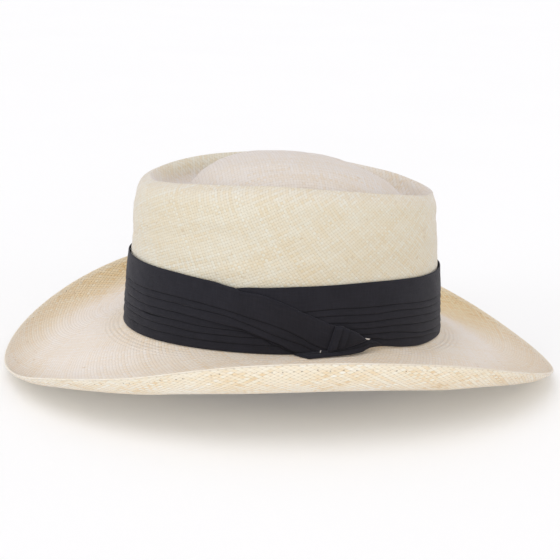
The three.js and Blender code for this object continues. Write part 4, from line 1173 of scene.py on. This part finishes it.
rtape = loft("reed_tape_cloth", Pr, attrs={"cloth": np.stack([np.broadcast_to(tr[None] * 94, Hr.shape), np.broadcast_to(run[:, None], Hr.shape), 0 * Hr], -1)})
dress(rtape, mat_tape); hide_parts("reed_tape")

w = np.linspace(0, 2 * np.pi, 14, endpoint=False)
Hq = 1.2 + 0.92 * np.sin(w)[:, None] + 0 * tr[None]
Oq = 2.05 + 0.86 * np.cos(w)[:, None] + 0 * tr[None]
reed = loft("sweat_reed_rod", inside(tr[None], Hq, Oq))
dress(reed, reed_material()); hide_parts("sweat_reed")

# one stitch every 3.4 mm through the tape
girth = 585.0
n_st = 172
st = []
for i in range(n_st):
    a0 = 2 * math.pi * i / n_st
    a1 = a0 + 2 * math.pi / n_st * 0.74
    f = np.linspace(0, 1, 7)
    st.append(tube("x", inside(a0 + (a1 - a0) * f, 6.7 + 0.10 * (f - 0.5), 0.95 + 0.34 * np.sin(np.pi * f)**0.6), 0.19, 8))
stitches = tubes_object("sweat_stitching_thread", st)
dress(stitches, mat_black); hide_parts("sweat_stitching")

# zigzag closing the back seam
zz = []
for i in range(15):
    zz.append((90 + (1.25 if i % 2 else -1.25), 6 + i * 2.0))
pts = []
for (d0, h0), (d1, h1) in zip(zz[:-1], zz[1:]):
    for f in np.linspace(0, 1, 10, endpoint=False):
        g_ = f * f * (3 - 2 * f)
        pts.append((d0 + (d1 - d0) * g_, h0 + (h1 - h0) * f, 0.32 + 0.22 * math.sin(math.pi * f)))
pts.append((*zz[-1], 0.32))
pts = np.array(pts)
seam = tubes_object("sweatband_seam_zigzag", [tube("x", inside(np.radians(pts[:, 0]), pts[:, 1], 2.85 + pts[:, 2]), 0.2, 9, up_hint=(0, 1, 0))])
dress(seam, mat_black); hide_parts("sweatband_seam_thread")

# bow: two loops and two tails of one narrow ribbon, and its wrap
b_lo, b_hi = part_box("bow_ribbon")
by = (b_lo.y + b_hi.y) / 2 / MM + 1.0
bz = 5.2


def ribbon(name, path, width, t=0.32, twist=0.0, seed=0, edge_curl=0.0):
    """A ribbon of the given width (along z) following a path in x, y."""
    path = np.asarray(path, float)
    n = len(path)
    dd = np.gradient(path, axis=0)
    dd /= np.linalg.norm(dd, axis=1, keepdims=True)
    nn = np.cross(dd, [0, 0, 1.0])
    nn /= np.linalg.norm(nn, axis=1, keepdims=True)
    wv = np.cross(nn, dd)
    wd = np.broadcast_to(np.asarray(width, float), (n,))
    kk = np.linspace(-0.5, 0.5, 9)
    top = path[None] + wv[None] * (kk[:, None] * wd[None])[..., None] + nn[None] * (t / 2 + edge_curl * (kk[:, None, None]**2) * 4)
    bot = path[None] + wv[None] * (kk[:, None] * wd[None])[..., None] + nn[None] * (-t / 2 + edge_curl * (kk[:, None, None]**2) * 4)
    s = np.concatenate([[0], np.cumsum(np.linalg.norm(np.diff(path, axis=0), axis=1))])
    at = np.stack([np.broadcast_to(s[None], (9, n)), np.broadcast_to((kk * 8)[:, None], (9, n)), np.zeros((9, n))], -1)
    return top, bot, at


mat_ribbon = ribbed_material("bow_ribbon", (0.012, 0.009, 0.008), (0.042, 0.034, 0.030), 0.6, 0.38, 0.1, 0.5)
parts = []
for sx in (-1, 1):
    u = np.linspace(0, 1, 34)
    x = sx * (0.9 + 11.6 * np.sin(np.pi * u) ** 0.8)
    y = by + np.where(u < 0.5, 1, -1) * 0 + 0.78 * np.cos(np.pi * u) * (0.55 + 0.45 * np.sin(np.pi * u))
    z = bz + 0.9 * np.sin(np.pi * u) + 0 * u
    path = np.stack([x, y, z], -1)
    wd = 3.0 + 3.4 * np.sin(np.pi * u)**0.7
    parts.append(ribbon("x", path, wd, 0.3))
for sx in (-1, 1):
    u = np.linspace(0, 1, 22)
    path = np.stack([sx * (1.0 + 8.8 * u), by - 1.15 + 0.35 * np.sin(u * 5 + sx), bz - 0.4 - 2.4 * u**1.3], -1)
    parts.append(ribbon("x", path, 2.8 + 1.6 * u, 0.28, edge_curl=0.05))
V_, Q_, A_, base = [], [], [], 0
for top, bot, at in parts:
    r, c = top.shape[:2]
    vv = np.concatenate([top.reshape(-1, 3), bot.reshape(-1, 3)])
    q = [grid_quads(r, c), grid_quads(r, c, start=r * c)[:, ::-1]]
    j, i = np.arange(c - 1), np.arange(r - 1)
    q.append(np.stack([j + 1, j, r * c + j, r * c + j + 1], -1))
    q.append(np.stack([(r - 1) * c + j, (r - 1) * c + j + 1, r * c + (r - 1) * c + j + 1, r * c + (r - 1) * c + j], -1))
    q.append(np.stack([i * c, (i + 1) * c, r * c + (i + 1) * c, r * c + i * c], -1))
    q.append(np.stack([(i + 1) * c + c - 1, i * c + c - 1, r * c + i * c + c - 1, r * c + (i + 1) * c + c - 1], -1))
    q = np.concatenate(q)
    if volume_of(vv, q) < 0:
        q = q[:, ::-1]
    V_.append(vv); Q_.append(q + base); A_.append(np.concatenate([at.reshape(-1, 3)] * 2)); base += len(vv)
bow = make_object("bow_ribbon_loops", np.concatenate(V_), np.concatenate(Q_), (), True, {"cloth": ("POINT", np.concatenate(A_))})
dress(bow, mat_ribbon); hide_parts("bow_ribbon")
# wrap round the waist: a small ring of ribbon
n_w = 40
a = np.linspace(0, 2 * np.pi, n_w, endpoint=False)
ring_y, ring_z = 1.75 * spow(np.cos(a), 0.8), 2.15 * spow(np.sin(a), 0.8)
prof = [(-1.3, 0.0), (-1.25, 0.16), (-0.6, 0.24), (0, 0.26), (0.6, 0.24), (1.25, 0.16), (1.3, 0.0), (1.25, -0.1), (0, -0.14), (-1.25, -0.1)]
Pw = np.empty((len(prof), n_w, 3))
for i, (px, pr) in enumerate(prof):
    f = 1 + pr / 1.9
    Pw[i, :, 0] = px * (1 + 0.06 * np.sin(2 * a))
    Pw[i, :, 1] = by + ring_y * f - 0.25
    Pw[i, :, 2] = bz + ring_z * f
wrap_ob = loft("bow_wrap_ribbon", Pw, attrs={"cloth": np.stack([np.broadcast_to(a[None] * 2, Pw.shape[:2]), np.broadcast_to(np.array([p[0] for p in prof])[:, None], Pw.shape[:2]), np.zeros(Pw.shape[:2])], -1)})
dress(wrap_ob, mat_ribbon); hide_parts("bow_wrap")

# ticket: thin paper, slightly curled, corners cut
cols, rows = 18, 26
d = np.linspace(68, 76, cols)
hh = np.linspace(12, 30, rows)
Hg, Dg = np.meshgrid(hh, d, indexing="ij")
cut = np.clip(1 - (np.minimum(Hg - 12, 30 - Hg)) / 1.5, 0, 1)
Dg2 = 72 + (Dg - 72) * (1 - 0.12 * cut**2)
curl = 0.06 * np.sin((Hg - 12) / 18 * np.pi)
outer = inside(np.radians(Dg2), Hg, 1.02 + curl)
inner = inside(np.radians(Dg2), Hg, 1.24 + curl)
tab = slab_object("size_tab_paper", inner, outer, np.stack([Dg, Hg, 0 * Hg], -1))
dress(tab, paper_material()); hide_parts("size_tab")

# ------------------------------------------------------------------ floor, light
FLOOR_Z = -0.0348
bpy.ops.mesh.primitive_plane_add(size=60, location=(0, 0, FLOOR_Z))
floor = bpy.context.object
floor.name = "floor"
fm = Mat("floor")
fn = fm.noise(fm.coord(), 3.0, 3.0, 0.5)
fm.set(base=fm.cmix(fn, (0.86, 0.86, 0.865), (0.88, 0.88, 0.885)), rough=0.85, spec=0.1)
geo = fm.t.nodes.new("ShaderNodeNewGeometry")
clear = fm.t.nodes.new("ShaderNodeBsdfTransparent")
mixs = fm.t.nodes.new("ShaderNodeMixShader")
fm.b.inputs["Emission Color"].default_value = (1.0, 1.0, 1.0, 1.0)   # a lit studio table
fm.b.inputs["Emission Strength"].default_value = 0.12
fm.t.links.new(geo.outputs["Backfacing"], mixs.inputs[0])
fm.t.links.new(fm.b.outputs[0], mixs.inputs[1])
fm.t.links.new(clear.outputs[0], mixs.inputs[2])
fm.t.links.new(mixs.outputs[0], fm.out.inputs[0])
floor.data.materials.append(fm.m)

world = bpy.data.worlds.new("studio")
world.use_nodes = True
bg = world.node_tree.nodes["Background"]
bg.inputs[0].default_value = (1.0, 1.0, 1.0, 1.0)
bg.inputs[1].default_value = 0.75
bpy.context.scene.world = world


def sun(name, azim, elev, strength, angle, colour=(1, 1, 1)):
    """Soft light from azimuth (0 = from +X, 90 = from +Y) and elevation."""
    l = bpy.data.lights.new(name, "SUN")
    l.energy, l.angle, l.color = strength, math.radians(angle), colour
    o = bpy.data.objects.new(name, l)
    bpy.context.scene.collection.objects.link(o)
    a, e = math.radians(azim), math.radians(elev)
    v = Vector((math.cos(a) * math.cos(e), math.sin(a) * math.cos(e), math.sin(e)))
    o.rotation_mode = "QUATERNION"
    o.rotation_quaternion = v.to_track_quat("Z", "Y")
    return o


sun("front", -6, 7, 0.66, 30, (1.0, 0.965, 0.92))
sun("left", -68, 8, 0.74, 35, (0.87, 0.94, 1.0))
sun("right", 48, 6, 0.42, 35, (1.0, 0.98, 0.96))
sun("top", -60, 72, 0.60, 50, (1.0, 0.955, 1.0))

vs = bpy.context.scene.view_settings
vs.view_transform = "Standard"
vs.look = "None"
vs.exposure = 0.0
vs.gamma = 1.0
